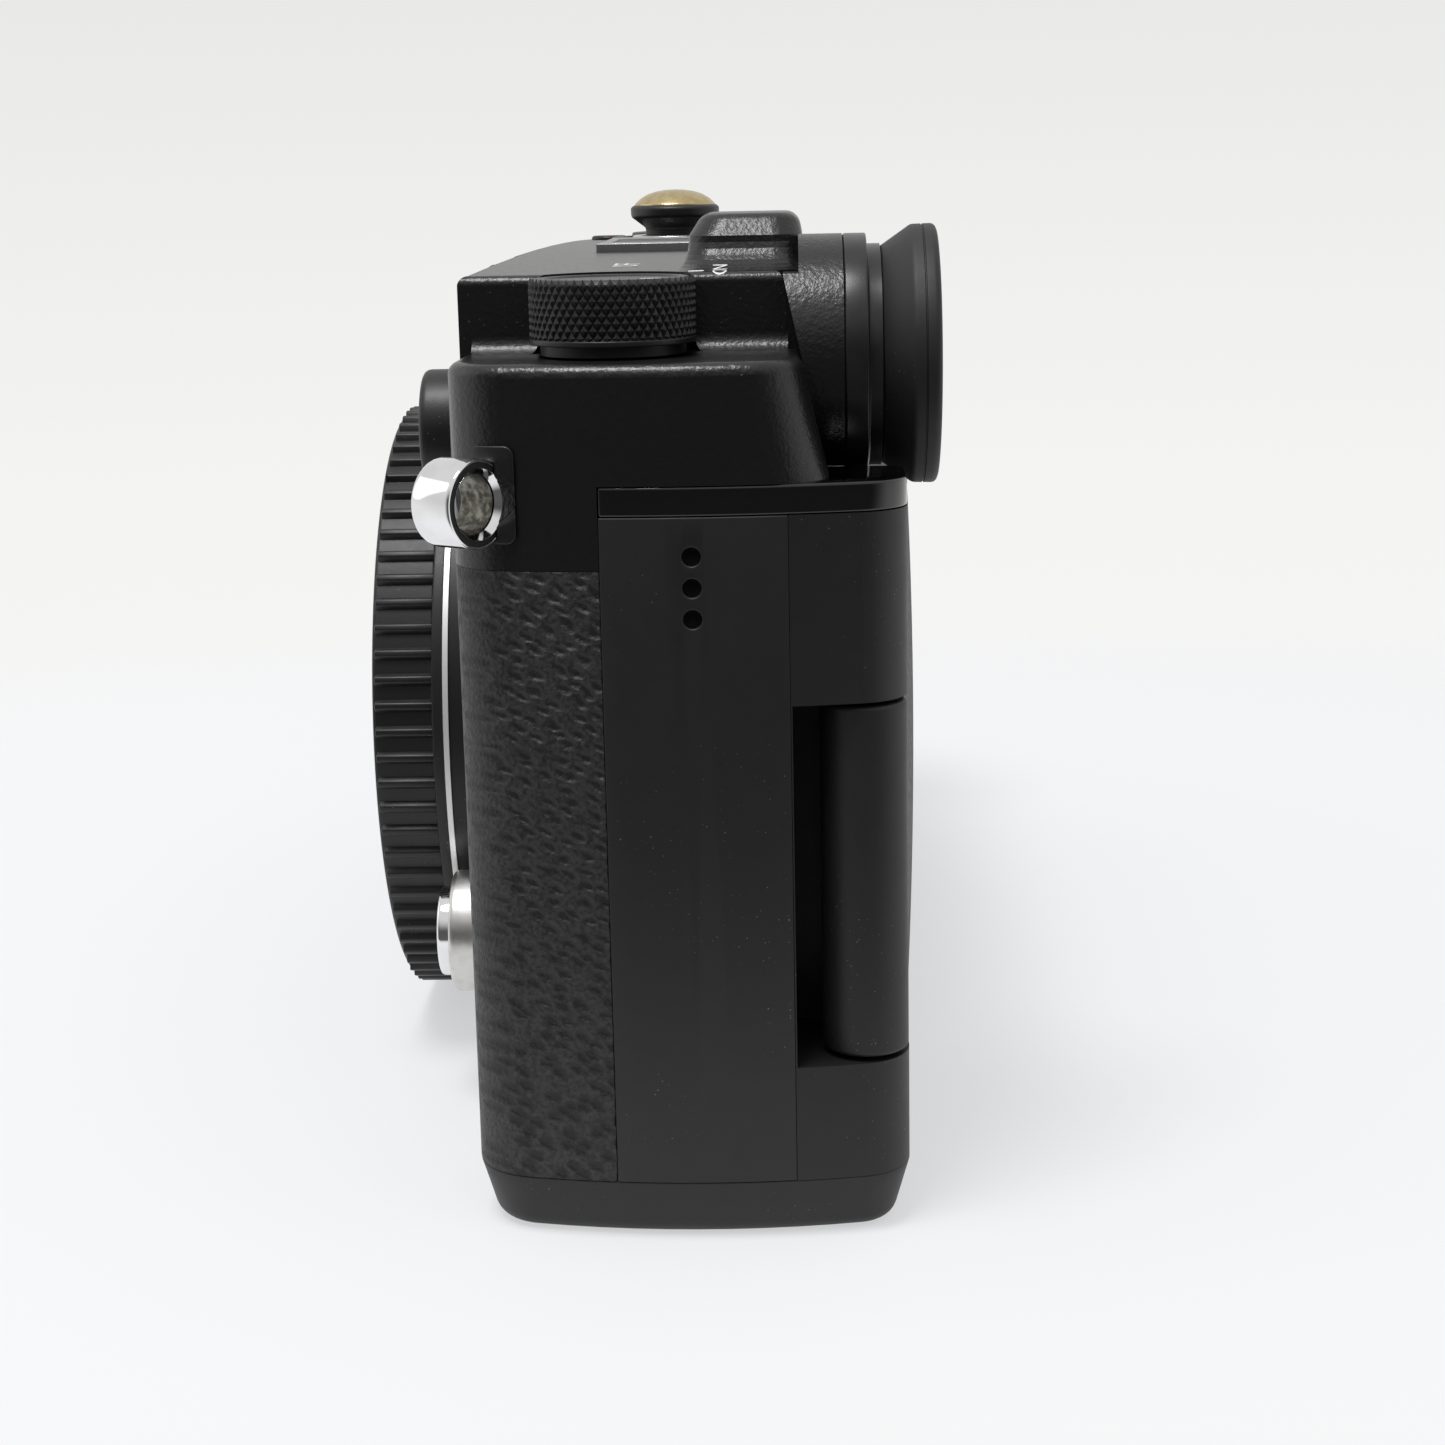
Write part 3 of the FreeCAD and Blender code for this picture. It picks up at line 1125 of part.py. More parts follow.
def power_knob():
    """Power knob on the shoulder: a neck under the knurled drum."""
    low = SHOULDER_TOP + DIAL_SEAT_GAP
    drum = rod_z(KNOB_X, KNOB_Y, KNOB_RADIUS, low + KNOB_NECK, KNOB_TOP)
    drum = round_edges(drum, 0.4, lambda b: b.ZLength < 0.01)
    neck = rod_z(KNOB_X, KNOB_Y, KNOB_NECK_RADIUS, low, low + KNOB_NECK + 0.5)
    shaft = rod_z(KNOB_X, KNOB_Y, DIAL_SHAFT, DIAL_SHAFT_END, low + 1)
    return drum.fuse([neck, shaft]).removeSplitter()


def mode_dial():
    """Mode dial with the bore of its lock button."""
    dial = dial_z(MODE_X, MODE_Y, MODE_RADIUS, DIAL_WELL_FLOOR + DIAL_SEAT_GAP, MODE_TOP, DIAL_SHAFT_END)
    return dial.cut(rod_z(MODE_X, MODE_Y, LOCK_RADIUS + RUNNING, MODE_TOP - LOCK_DEPTH - LOCK_TRAVEL - 0.2,
                          REACH))


def mode_lock():
    """Lock button in the middle of the mode dial."""
    low = MODE_TOP - LOCK_DEPTH
    pin = rod_z(MODE_X, MODE_Y, LOCK_RADIUS, low, MODE_TOP + LOCK_PROUD)
    return round_edges(pin, 0.2, lambda b: b.ZMin > MODE_TOP + LOCK_PROUD - 0.01)


def front_dial():
    """Ring dial round the shutter button."""
    low = DIAL_WELL_FLOOR + DIAL_SEAT_GAP
    ring = rod_z(SHUTTER_X, SHUTTER_Y, FRONT_DIAL_RADIUS, low, FRONT_DIAL_TOP)
    ring = round_edges(ring, 0.35, lambda b: b.ZMin > FRONT_DIAL_TOP - 0.01)
    return ring.cut(rod_z(SHUTTER_X, SHUTTER_Y, FRONT_DIAL_BORE, low, FRONT_DIAL_TOP))


def shutter_button():
    """Shutter button with the threaded socket of a cable release."""
    cap = rod_z(SHUTTER_X, SHUTTER_Y, SHUTTER_BOSS_BORE - RUNNING, SHUTTER_TOP - SHUTTER_CAP, SHUTTER_TOP)
    cap = round_edges(cap, 0.4, lambda b: b.ZMin > SHUTTER_TOP - 0.01)
    stem = rod_z(SHUTTER_X, SHUTTER_Y, SHUTTER_STEM, DIAL_SHAFT_END, SHUTTER_TOP - SHUTTER_CAP)
    button = cap.fuse(stem)
    return button.cut(rod_z(SHUTTER_X, SHUTTER_Y, SHUTTER_SOCKET, SHUTTER_TOP - SHUTTER_SOCKET_DEPTH,
                            REACH)).removeSplitter()


def soft_release():
    """Domed soft release button with a conical underside."""
    low = SHUTTER_TOP
    profile = ((0, low - SOFT_SCREW_LENGTH), (SOFT_SCREW, low - SOFT_SCREW_LENGTH), (SOFT_SCREW, low),
               (SOFT_NECK_RADIUS, low), (SOFT_NECK_RADIUS, low + SOFT_NECK), (SOFT_RADIUS, SOFT_RIM_LOW),
               (SOFT_RADIUS, SOFT_RIM_HIGH), (0, SOFT_RIM_HIGH))
    stud = turned_z(SHUTTER_X, SHUTTER_Y, profile)
    crown = SOFT_TOP - SOFT_RIM_HIGH
    sphere_radius = (SOFT_RADIUS ** 2 + crown ** 2) / (2 * crown)
    sphere = Part.makeSphere(sphere_radius, V(SHUTTER_X, SHUTTER_Y, SOFT_TOP - sphere_radius))
    dome = sphere.common(rod_z(SHUTTER_X, SHUTTER_Y, SOFT_RADIUS, SOFT_RIM_HIGH, SOFT_TOP + 1))
    return stud.fuse(dome).removeSplitter()


def movie_button():
    """Movie button with a flange under the top plate."""
    cap = rod_z(MOVIE_X, MOVIE_Y, MOVIE_RADIUS, CAVITY_TOP - TOP_FLANGE - BUTTON_REST_GAP, MOVIE_TOP)
    cap = round_edges(cap, 0.3, lambda b: b.ZMin > MOVIE_TOP - 0.01)
    flange = rod_z(MOVIE_X, MOVIE_Y, MOVIE_RADIUS + BUTTON_FLANGE_LIP,
                   CAVITY_TOP - TOP_FLANGE - BUTTON_REST_GAP, CAVITY_TOP - BUTTON_REST_GAP)
    flange = flange.common(box(-REACH, REACH, FRONT + WALL + 0.3, REACH, 0, REACH))
    return cap.fuse(flange).removeSplitter()


def rear_dial():
    """Thumb dial on the ledge, its pin held in the ledge below."""
    disc = rod_z(REAR_DIAL_X, REAR_DIAL_Y, REAR_DIAL_RADIUS, REAR_DIAL_LOW, REAR_DIAL_HIGH)
    disc = round_edges(disc, 0.3, lambda b: b.ZLength < 0.01)
    pin = rod_z(REAR_DIAL_X, REAR_DIAL_Y, REAR_PIN_RADIUS, STRIP_TOP - WALL, REAR_DIAL_LOW + 1)
    return disc.fuse(pin).removeSplitter()


def profile_lever():
    """Lever ring under the rear dial with its tab."""
    high = LEVER_LOW + LEVER_THICK
    ring = rod_z(REAR_DIAL_X, REAR_DIAL_Y, LEVER_RADIUS, LEVER_LOW, high)
    tab = box(REAR_DIAL_X - LEVER_TAB_WIDTH / 2, REAR_DIAL_X + LEVER_TAB_WIDTH / 2, REAR_DIAL_Y,
              REAR_DIAL_Y + LEVER_TAB_REACH, LEVER_LOW, high)
    tab = round_edges(tab, 0.9, lambda b: b.ZLength > LEVER_THICK - 0.01
                      and b.YMin > REAR_DIAL_Y + LEVER_TAB_REACH - 0.01)
    bore = rod_z(REAR_DIAL_X, REAR_DIAL_Y, REAR_PIN_RADIUS + RUNNING, LEVER_LOW, high)
    return ring.fuse(tab).cut(bore).removeSplitter()


# Controls on the front and rear

def creative_dial():
    """Front dial on a shaft through the top cover."""
    disc = rod_y(CREATIVE_X, CREATIVE_Z, CREATIVE_RADIUS, CREATIVE_FACE, FRONT - CREATIVE_FOOT)
    disc = round_edges(disc, 0.6, lambda b: b.YMax < CREATIVE_FACE + 0.01)
    shaft = rod_y(CREATIVE_X, CREATIVE_Z, CREATIVE_SHAFT, FRONT - 1, FRONT + WALL + 1)
    return disc.fuse(shaft).removeSplitter()


def preview_button():
    """Depth of field preview button low on the front."""
    length = SKIN + WALL
    cap = rod_y(PREVIEW_X, PREVIEW_Z, PREVIEW_RADIUS, FRONT - 1.2, FRONT + length + BUTTON_FLANGE)
    cap = round_edges(cap, 0.4, lambda b: b.YMax < FRONT - 1.19)
    flange_front = FRONT + length + BUTTON_REST_GAP
    flange = rod_y(PREVIEW_X, PREVIEW_Z, PREVIEW_RADIUS + BUTTON_FLANGE_LIP, flange_front,
                   flange_front + BUTTON_FLANGE)
    return cap.fuse(flange).removeSplitter()


def arrow_pad():
    """Rocking ring of the arrow pad on its two pivots."""
    flange_rear = REAR - WALL - PAD_FLANGE_GAP
    flange_front = flange_rear - BUTTON_FLANGE
    ring = rod_y(PAD_X, PAD_Z, PAD_RADIUS, flange_front, REAR + PAD_PROUD)
    ring = round_edges(ring, 0.35, lambda b: b.YMin > REAR + PAD_PROUD - 0.01)
    ring = ring.fuse(rod_y(PAD_X, PAD_Z, PAD_RADIUS + BUTTON_FLANGE_LIP, flange_front, flange_rear))
    pivot_y = (flange_front + flange_rear) / 2
    root = PAD_RADIUS + BUTTON_FLANGE_LIP - 0.2
    tip = PAD_RADIUS + BUTTON_FLANGE_LIP + PAD_PIVOT_REACH
    for near, far in ((-tip, -root), (root, tip)):
        ring = ring.fuse(rod_x(pivot_y, PAD_Z, PAD_PIVOT_RADIUS, PAD_X + near, PAD_X + far))
    return ring.cut(rod_y(PAD_X, PAD_Z, PAD_BORE, flange_front - 1, REAR + PAD_PROUD)).removeSplitter()


def ok_button():
    """Button in the middle of the arrow pad."""
    flange_rear = REAR - WALL - PAD_FLANGE_GAP
    cap = rod_y(PAD_X, PAD_Z, OK_RADIUS, flange_rear + OK_TRAVEL_ROOM, REAR + OK_PROUD)
    return round_edges(cap, 0.35, lambda b: b.YMin > REAR + OK_PROUD - 0.01)


def view_button():
    """Finder and monitor switch button beside the finder."""
    face = cover_rear(VIEW_Z)
    low = COVER_REAR_TOP - WALL - 0.6
    cap = rod_y(VIEW_X, VIEW_Z, BUTTON_RADIUS, low, face + 1.0)
    return round_edges(cap, 0.35, lambda b: b.YMin > face + 0.99)


def diopter_dial():
    """Small wheel that focuses the finder."""
    front = cover_rear(DIOPTER_Z - DIOPTER_RADIUS) + DIOPTER_GAP
    rear = front + DIOPTER_WIDTH
    wheel = rod_y(DIOPTER_X, DIOPTER_Z, DIOPTER_RADIUS, front, rear)
    wheel = round_edges(wheel, 0.25, lambda b: b.YMin > rear - 0.01)
    shaft = rod_y(DIOPTER_X, DIOPTER_Z, DIOPTER_SHAFT, COVER_REAR_TOP - 1, front + 0.5)
    return wheel.fuse(shaft).removeSplitter()


# Monitor

def hinge_arm():
    """Arm that turns in the hinge blocks and carries the monitor's tilt pin."""
    knuckle = rod_z(HINGE_X, HINGE_Y, HINGE_RADIUS, BARREL_LOW, BARREL_HIGH)
    knuckle = round_edges(knuckle, 0.4, lambda b: b.ZLength < 0.01)
    web = box(ARM_RIGHT, HINGE_X, HINGE_Y - ARM_THICK / 2, HINGE_Y + ARM_THICK / 2, BARREL_LOW, BARREL_HIGH)
    web = round_edges(web, ARM_ROUND, lambda b: b.XMax < ARM_RIGHT + 0.01)
    pin = rod_z(HINGE_X, HINGE_Y, HINGE_PIN, BARREL_LOW - HINGE_PIN_LENGTH + 0.2,
                BARREL_HIGH + HINGE_PIN_LENGTH - 0.2)
    tilt = rod_x(HINGE_Y, TILT_Z, TILT_PIN, ARM_RIGHT - TILT_PIN_LENGTH + 1, ARM_RIGHT + 1)
    return knuckle.fuse([web, pin, tilt]).removeSplitter()


def monitor_case():
    """Monitor shell with a softly crowned back, closed with its screen turned inwards."""
    case = box(MONITOR_RIGHT, MONITOR_LEFT, MONITOR_FRONT, MONITOR_CROWN_Y + 1, MONITOR_LOW, MONITOR_HIGH)
    case = round_edges(case, MONITOR_CORNER, lambda b: b.YLength > 5 and max(b.XLength, b.ZLength) < 0.01)
    middle_z = (MONITOR_LOW + MONITOR_HIGH) / 2
    crown = Part.makeSphere(MONITOR_CROWN_RADIUS,
                            V(MONITOR_CROWN_X, MONITOR_CROWN_Y - MONITOR_CROWN_RADIUS, middle_z))
    case = case.common(crown)
    case = round_edges(case, MONITOR_EDGE, lambda b: b.YMin > REAR - 1.5)
    case = case.cut(glass_space())
    pin_end = ARM_RIGHT - TILT_PIN_LENGTH + 1
    return case.cut(rod_x(HINGE_Y, TILT_Z, TILT_PIN + RUNNING, pin_end - 0.2, ARM_RIGHT + 1))


def glass_space():
    """Room of the screen glass in the monitor's inner face."""
    left = ARM_RIGHT - TILT_PIN_LENGTH
    return box(MONITOR_RIGHT + GLASS_MARGIN, left, MONITOR_FRONT, MONITOR_FRONT + GLASS_THICK,
               MONITOR_LOW + GLASS_MARGIN, MONITOR_HIGH - GLASS_MARGIN)


# Doors

def battery_door():
    """Door over the battery and card, with a round hinge edge and two pins."""
    high = DOOR_LOW + DOOR_THICK
    door = box(DOOR_RIGHT, DOOR_AXIS_X, DOOR_FRONT, DOOR_REAR, DOOR_LOW, high)
    door = door.fuse(rod_y(DOOR_AXIS_X, DOOR_AXIS_Z, DOOR_THICK / 2, DOOR_FRONT, DOOR_REAR))
    door = door.fuse(rod_y(DOOR_AXIS_X, DOOR_AXIS_Z, DOOR_PIN, DOOR_FRONT - DOOR_PIN_LENGTH,
                           DOOR_REAR + DOOR_PIN_LENGTH))
    right, left, front, rear = latch_extent()
    slot = box(right - SEAM, left + LATCH_TRAVEL + SEAM, front - SEAM, rear + SEAM, DOOR_LOW - 1,
               DOOR_LOW + LATCH_THICK + SEAM)
    return door.cut(slot).removeSplitter()


def latch_extent():
    """Plan extent of the door latch at rest."""
    right = DOOR_RIGHT + LATCH_SETBACK
    middle_y = (DOOR_FRONT + DOOR_REAR) / 2
    return right, right + LATCH_LENGTH, middle_y - LATCH_WIDTH / 2, middle_y + LATCH_WIDTH / 2


def door_latch():
    """Sliding latch with three grip ridges."""
    right, left, front, rear = latch_extent()
    latch = box(right, left, front, rear, DOOR_LOW, DOOR_LOW + LATCH_THICK)
    for index in range(3):
        x = right + LATCH_LENGTH * (index + 1) / 4
        latch = latch.cut(box(x - 0.3, x + 0.3, front + 1, rear - 1, DOOR_LOW - 1, DOOR_LOW + 0.25))
    return latch


def port_axis():
    """Plan place of the port cover's hinge axis."""
    y = PORT_REAR - PORT_COVER_GAP - PORT_COVER_THICK / 2
    return 2 * MIDDLE_X - outline_x(y) + PORT_COVER_THICK / 2, y


def port_space():
    """Opening in the grip end with the holes of the cover's pins."""
    opening = box(GRIP_END - 1, GRIP_END + PORT_DEPTH, PORT_FRONT, PORT_REAR, PORT_LOW, PORT_HIGH)
    x, y = port_axis()
    low = PORT_LOW - PORT_PIN_LENGTH
    return opening.fuse(rod_z(x, y, PORT_PIN + RUNNING, low, PORT_HIGH + PORT_PIN_LENGTH))


def port_cover():
    """Flap over the sockets, hinged at its rear edge."""
    low = PORT_LOW + PORT_COVER_GAP
    high = PORT_HIGH - PORT_COVER_GAP
    x, y = port_axis()
    flap = wall_band(low, high, 0, PORT_COVER_THICK)
    flap = flap.common(box(-REACH, MIDDLE_X, PORT_FRONT + PORT_COVER_GAP, y, 0, REACH))
    edge = rod_z(x, y, PORT_COVER_THICK / 2, low, high)
    pins = rod_z(x, y, PORT_PIN, PORT_LOW - PORT_PIN_LENGTH + 0.2, PORT_HIGH + PORT_PIN_LENGTH - 0.2)
    return flap.fuse([edge, pins]).removeSplitter()


def rear_button(place):
    """One of the round buttons on the rear face."""
    return button_y(place[0], place[1], BUTTON_RADIUS, REAR, 1, BUTTON_PROUD)


NODES = {
    "base_plate": base_plate(),
    "front_cover": front_cover(),
    "grip_skins": grip_skins(),
    "rear_cover": rear_cover(),
    "side_panel": side_panel(),
    "gloss_strip": strip_space(),
    "top_cover": top_cover(),
    "finder_barrel": finder_barrel(),
    "eyepiece_lens": eyepiece_lens(),
    "eyecup": eyecup(),
    "mount_base": mount_base(),
    "mount_ring": mount_ring(),
    "mount_screws": mount_screws(),
    "lens_contacts": lens_contacts(),
    "body_cap": body_cap(),
    "chassis": chassis(),
    "shutter_unit": shutter_unit(),
    "sensor_unit": sensor_unit(),
    "main_board": main_board(),
    "battery": battery(),
    "memory_card": memory_card(),
    "tripod_socket": tripod_socket(),
    "case_screws": case_screws(),
    "hot_shoe": hot_shoe(),
    "shoe_cover": shoe_cover(),
    "strap_lugs": strap_lugs(),
    "lug_plates": lug_plates(),
    "release_collar": release_collar(),
    "release_button": release_button(),
    "sync_socket": sync_socket(),
    "sync_cap": sync_cap(),
    "thumb_rest": thumb_rest(),
    "power_knob": power_knob(),
    "mode_dial": mode_dial(),
    "mode_lock": mode_lock(),
    "ev_dial": dial_z(EV_X, EV_Y, EV_RADIUS, DIAL_WELL_FLOOR + DIAL_SEAT_GAP, EV_TOP, DIAL_SHAFT_END),
    "front_dial": front_dial(),
    "shutter_button": shutter_button(),
    "soft_release": soft_release(),
    "movie_button": movie_button(),
    "rear_dial": rear_dial(),
    "profile_lever": profile_lever(),
    "creative_dial": creative_dial(),
    "preview_button": preview_button(),
    "fn_button": rear_button(FN_PLACE),
    "magnify_button": rear_button(MAGNIFY_PLACE),
    "menu_button": rear_button(MENU_PLACE),
    "info_button": rear_button(INFO_PLACE),
    "erase_button": rear_button(ERASE_PLACE),
    "play_button": rear_button(PLAY_PLACE),
    "arrow_pad": arrow_pad(),
    "ok_button": ok_button(),
    "view_button": view_button(),
    "diopter_dial": diopter_dial(),
    "hinge_arm": hinge_arm(),
    "monitor_case": monitor_case(),
    "monitor_glass": glass_space(),
    "battery_door": battery_door(),
    "door_latch": door_latch(),
    "port_cover": port_cover(),
}

os.makedirs("parts", exist_ok=True)
for name, shape in NODES.items():
    shape.exportStep("parts/" + name + ".step")
    print(name, len(shape.Solids), "solids", round(shape.Volume, 1), "mm3")
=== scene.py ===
import math

import bmesh
import bpy
from bpy.props import FloatProperty, FloatVectorProperty, IntProperty, PointerProperty
from mathutils import Matrix, Vector
from mathutils.bvhtree import BVHTree


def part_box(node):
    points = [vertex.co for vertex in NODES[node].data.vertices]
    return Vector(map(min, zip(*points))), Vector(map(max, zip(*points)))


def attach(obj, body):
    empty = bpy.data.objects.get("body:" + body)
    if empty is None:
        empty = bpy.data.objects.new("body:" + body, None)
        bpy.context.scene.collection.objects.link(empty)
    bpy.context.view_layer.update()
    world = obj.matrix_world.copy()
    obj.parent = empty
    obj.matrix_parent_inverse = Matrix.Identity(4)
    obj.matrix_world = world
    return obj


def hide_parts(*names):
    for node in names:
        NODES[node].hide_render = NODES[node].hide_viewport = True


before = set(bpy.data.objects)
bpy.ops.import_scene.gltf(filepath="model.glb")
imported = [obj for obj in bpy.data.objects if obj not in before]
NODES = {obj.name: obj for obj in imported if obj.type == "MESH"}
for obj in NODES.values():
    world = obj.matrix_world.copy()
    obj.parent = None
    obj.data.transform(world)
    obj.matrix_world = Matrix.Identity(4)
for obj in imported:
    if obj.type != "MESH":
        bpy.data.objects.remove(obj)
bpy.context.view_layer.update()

bl_info = {
    "name": "Mirrorless camera",
    "version": (1, 0, 0),
    "blender": (4, 5, 0),
    "location": "3D View > Sidebar > Camera",
    "description": "Dresses the parts of a mirrorless camera and sets it on a pale table",
    "category": "Object",
}

MM = 0.001
TURN = 2 * math.pi
FINISHES = {}
RECIPES = {}

# Upright axes, by their x and y in millimetres

KNOB_AXIS = (52.0, -3.7)
MODE_AXIS = (-22.0, 0.1)
EV_AXIS = (-54.0, -2.6)
SHUTTER_AXIS = (-38.4, -3.6)
MOVIE_AXIS = (-46.6, -11.2)
REAR_DIAL_AXIS = (-50.0, 11.3)

# Axes along Y, by their x and z in millimetres

LENS_AXIS = (0.0, 27.9)
FINDER_AXIS = (46.0, 62.0)
DIOPTER_AXIS = (33.6, 60.0)
RELEASE_AXIS = (30.0, 14.0)
SYNC_AXIS = (42.0, 56.7)
CREATIVE_AXIS = (-40.0, 57.2)
PAD_AXIS = (-43.0, 23.0)

# Thicknesses and roundings in millimetres, and angles in degrees

PAINT = 0.02
DRAPE_LIFT = 0.01
SHARP_ANGLE = 34
BEVEL_ANGLE = 32
FLAT_ANGLE = 0.6
BACK_CROWN = 452.0
BACK_TOP = 18.9
BACK_CORNER = 3.0

# The leatherette's pits, in millimetres and degrees

PIT_ROW = 0.92
PIT_LENGTH = 1.45
PIT_TURN = 40
PIT_SWAY = 0.6

# The mount's tool marks repeat every 2 pi of this many millimetres

TOOL_MARK = 0.09

# The viewpoint, with the eye in millimetres and its turns in degrees

EYE = (226.155, 9.346, 74.862)
YAW_PITCH_ROLL = (1.959, 12.489, -1.166)
FOCAL_PIXELS = 2471.25
PICTURE_PIXELS = 1445
SENSOR_WIDTH = 36.0

# The table, in metres

TABLE_SIZE = 0.21
TABLE_SHIFT = 0.03
TABLE_FADE = (0.105, 0.165)
TABLE_GLOW = 1.07

# Shares of light: taken from the mirrored backdrop, left in its upper part, given to the side lamp

MIRROR_DIMMING = 0.88
BACKDROP_SHADE = 0.83
SIDE_LAMP_SHARE = 0.2


# Shader and geometry trees

class Wire:
    """A node's output socket that takes plain arithmetic."""

    def __init__(self, graph, socket):
        self.graph = graph
        self.socket = socket

    def math(self, operation, *others):
        return self.graph.node("ShaderNodeMath", {"operation": operation}, dict(enumerate((self,) + others)))

    def swapped(self, operation, other):
        return self.graph.node("ShaderNodeMath", {"operation": operation}, {0: other, 1: self})

    def __add__(self, other):
        return self.math("ADD", other)

    def __sub__(self, other):
        return self.math("SUBTRACT", other)

    def __rsub__(self, other):
        return self.swapped("SUBTRACT", other)

    def __mul__(self, other):
        return self.math("MULTIPLY", other)

    def __truediv__(self, other):
        return self.math("DIVIDE", other)

    __radd__ = __add__
    __rmul__ = __mul__

    def between(self, low, high):
        """0 below low, 1 above high, and smooth between them."""
        return self.graph.node("ShaderNodeMapRange", {"interpolation_type": "SMOOTHSTEP"},
                               {"Value": self, "From Min": low, "From Max": high})


class Graph:
    """A node tree that is written line by line."""

    def __init__(self, tree):
        self.tree = tree
        self.keys = {}

    def node(self, kind, settings=None, inputs=None, output=0):
        made = self.tree.nodes.new(kind)
        for name, value in (settings or {}).items():
            setattr(made, name, value)
        for key, value in (inputs or {}).items():
            socket = made.inputs[key]
            if isinstance(value, Wire):
                self.tree.links.new(value.socket, socket)
            else:
                socket.default_value = value
        return Wire(self, made.outputs[output]) if len(made.outputs) else made

    def place(self):
        """Object coordinates."""
        return self.node("ShaderNodeTexCoord", output="Object")

    def split(self, vector):
        made = self.node("ShaderNodeSeparateXYZ", {}, {0: vector})
        return [Wire(self, socket) for socket in made.socket.node.outputs]

    def join(self, x, y, z=0.0):
        return self.node("ShaderNodeCombineXYZ", {}, {0: x, 1: y, 2: z})

    def grain(self, size, detail=2.0, vector=None):
        """Noise from 0 to 1 whose lumps are about size millimetres."""
        vector = vector or self.place()
        return self.node("ShaderNodeTexNoise", {}, {"Vector": vector, "Scale": 1 / (size * MM),
                                                    "Detail": detail})

    def blend(self, factor, first, second):
        """One colour turning into another."""
        return self.node("ShaderNodeMix", {"data_type": "RGBA"}, {0: factor, 6: first, 7: second}, 2)


def colour(values):
    return (*values, 1.0)


def finish(name, base, roughness, height=None, depth=0.0, **fixed):
    """A material from a colour, a roughness and an optional relief depth in millimetres."""
    material = bpy.data.materials.new(name)
    material.use_nodes = True
    graph = Graph(material.node_tree)
    graph.tree.nodes.clear()
    inputs = {"Base Color": base(graph) if callable(base) else colour(base),
              "Roughness": roughness(graph) if callable(roughness) else roughness}
    inputs.update({key.replace("_", " "): value for key, value in fixed.items()})
    if height:
        inputs["Normal"] = graph.node("ShaderNodeBump", {}, {"Strength": 1.0, "Distance": depth * MM,
                                                             "Height": height(graph)})
    shader = graph.node("ShaderNodeBsdfPrincipled", {}, inputs)
    graph.node("ShaderNodeOutputMaterial", {}, {"Surface": shader})
    FINISHES[name] = material
    return material


def fine(size, low, high, detail=2.0):
    """A value that wanders between two limits."""
    return lambda graph: low + graph.grain(size, detail) * (high - low)


def tones(first, second, size, low=0.35, high=0.65):
    """Two colours in soft patches."""
    def make(graph):
        return graph.blend(graph.grain(size, 3.0).between(low, high), colour(first), colour(second))
    return make


def crinkle(graph):
    """Orange peel of a sprayed crinkle paint."""
    return graph.grain(0.36, 2.0) * 0.75 + graph.grain(0.16, 1.0) * 0.25


def dusted(first, dust, rarity=0.83):
    """A dark colour with a speck of dust here and there."""
    def make(graph):
        specks = graph.grain(0.14, 0.0).between(rarity, rarity + 0.03)
        return graph.blend(specks * graph.grain(9.0, 0.0).between(0.5, 0.62), colour(first), colour(dust))
    return make


def wrapped(graph, around):
    """Surface coordinates in metres, either round the body's corners or flat on its back."""
    x, y, z = graph.split(graph.place())
    if around:
        return (x + 1.55 * MM).math("ABSOLUTE") - y, z
    return x, z


def creases(graph, around):
    """Short slanting pits: 1 on the ridges between them, 0 in the middle of each."""
    across, up = wrapped(graph, around)
    slant = math.radians(PIT_TURN)
    sway = (graph.grain(1.5, 1.0, graph.join(across, up)) - 0.5) * (PIT_SWAY * MM)
    along = (across * math.cos(slant) + up * math.sin(slant) + sway) / (PIT_LENGTH * MM)
    over = (up * math.cos(slant) - across * math.sin(slant) + sway) / (PIT_ROW * MM)
    near = graph.node("ShaderNodeTexVoronoi", {"voronoi_dimensions": "2D", "feature": "F1"},
                      {"Vector": graph.join(along, over), "Scale": 1.0, "Randomness": 0.75})
    return near.between(0.12, 0.52)


def pebbles(around):
    """Height of the leatherette: short pits in slanting rows under a finer grain."""
    def make(graph):
        return creases(graph, around) * 0.62 + graph.grain(0.3, 2.0) * 0.38
    return make


def pebble_colour(around):
    """Colour of the leatherette: dark grey ridges, with painted shade darkening the pits to near-black."""
    def make(graph):
        # The crease mask paints shade into the pits; the grain varies the ridges' tone at random.
        tone = creases(graph, around) * graph.grain(0.35, 2.5).between(0.22, 0.7)
        return graph.blend(tone, colour((0.0012, 0.0012, 0.0013)), colour((0.031, 0.031, 0.033)))
    return make


def turned_lines(graph):
    """Fine tool marks across the depth of the mount."""
    depth = graph.split(graph.place())[1]
    return (depth / (TOOL_MARK * MM)).math("SINE") * 0.5 + graph.grain(0.4, 2.0) * 0.3


def grains(size, detail=2.0):
    """A relief of plain noise."""
    return lambda graph: graph.grain(size, detail)


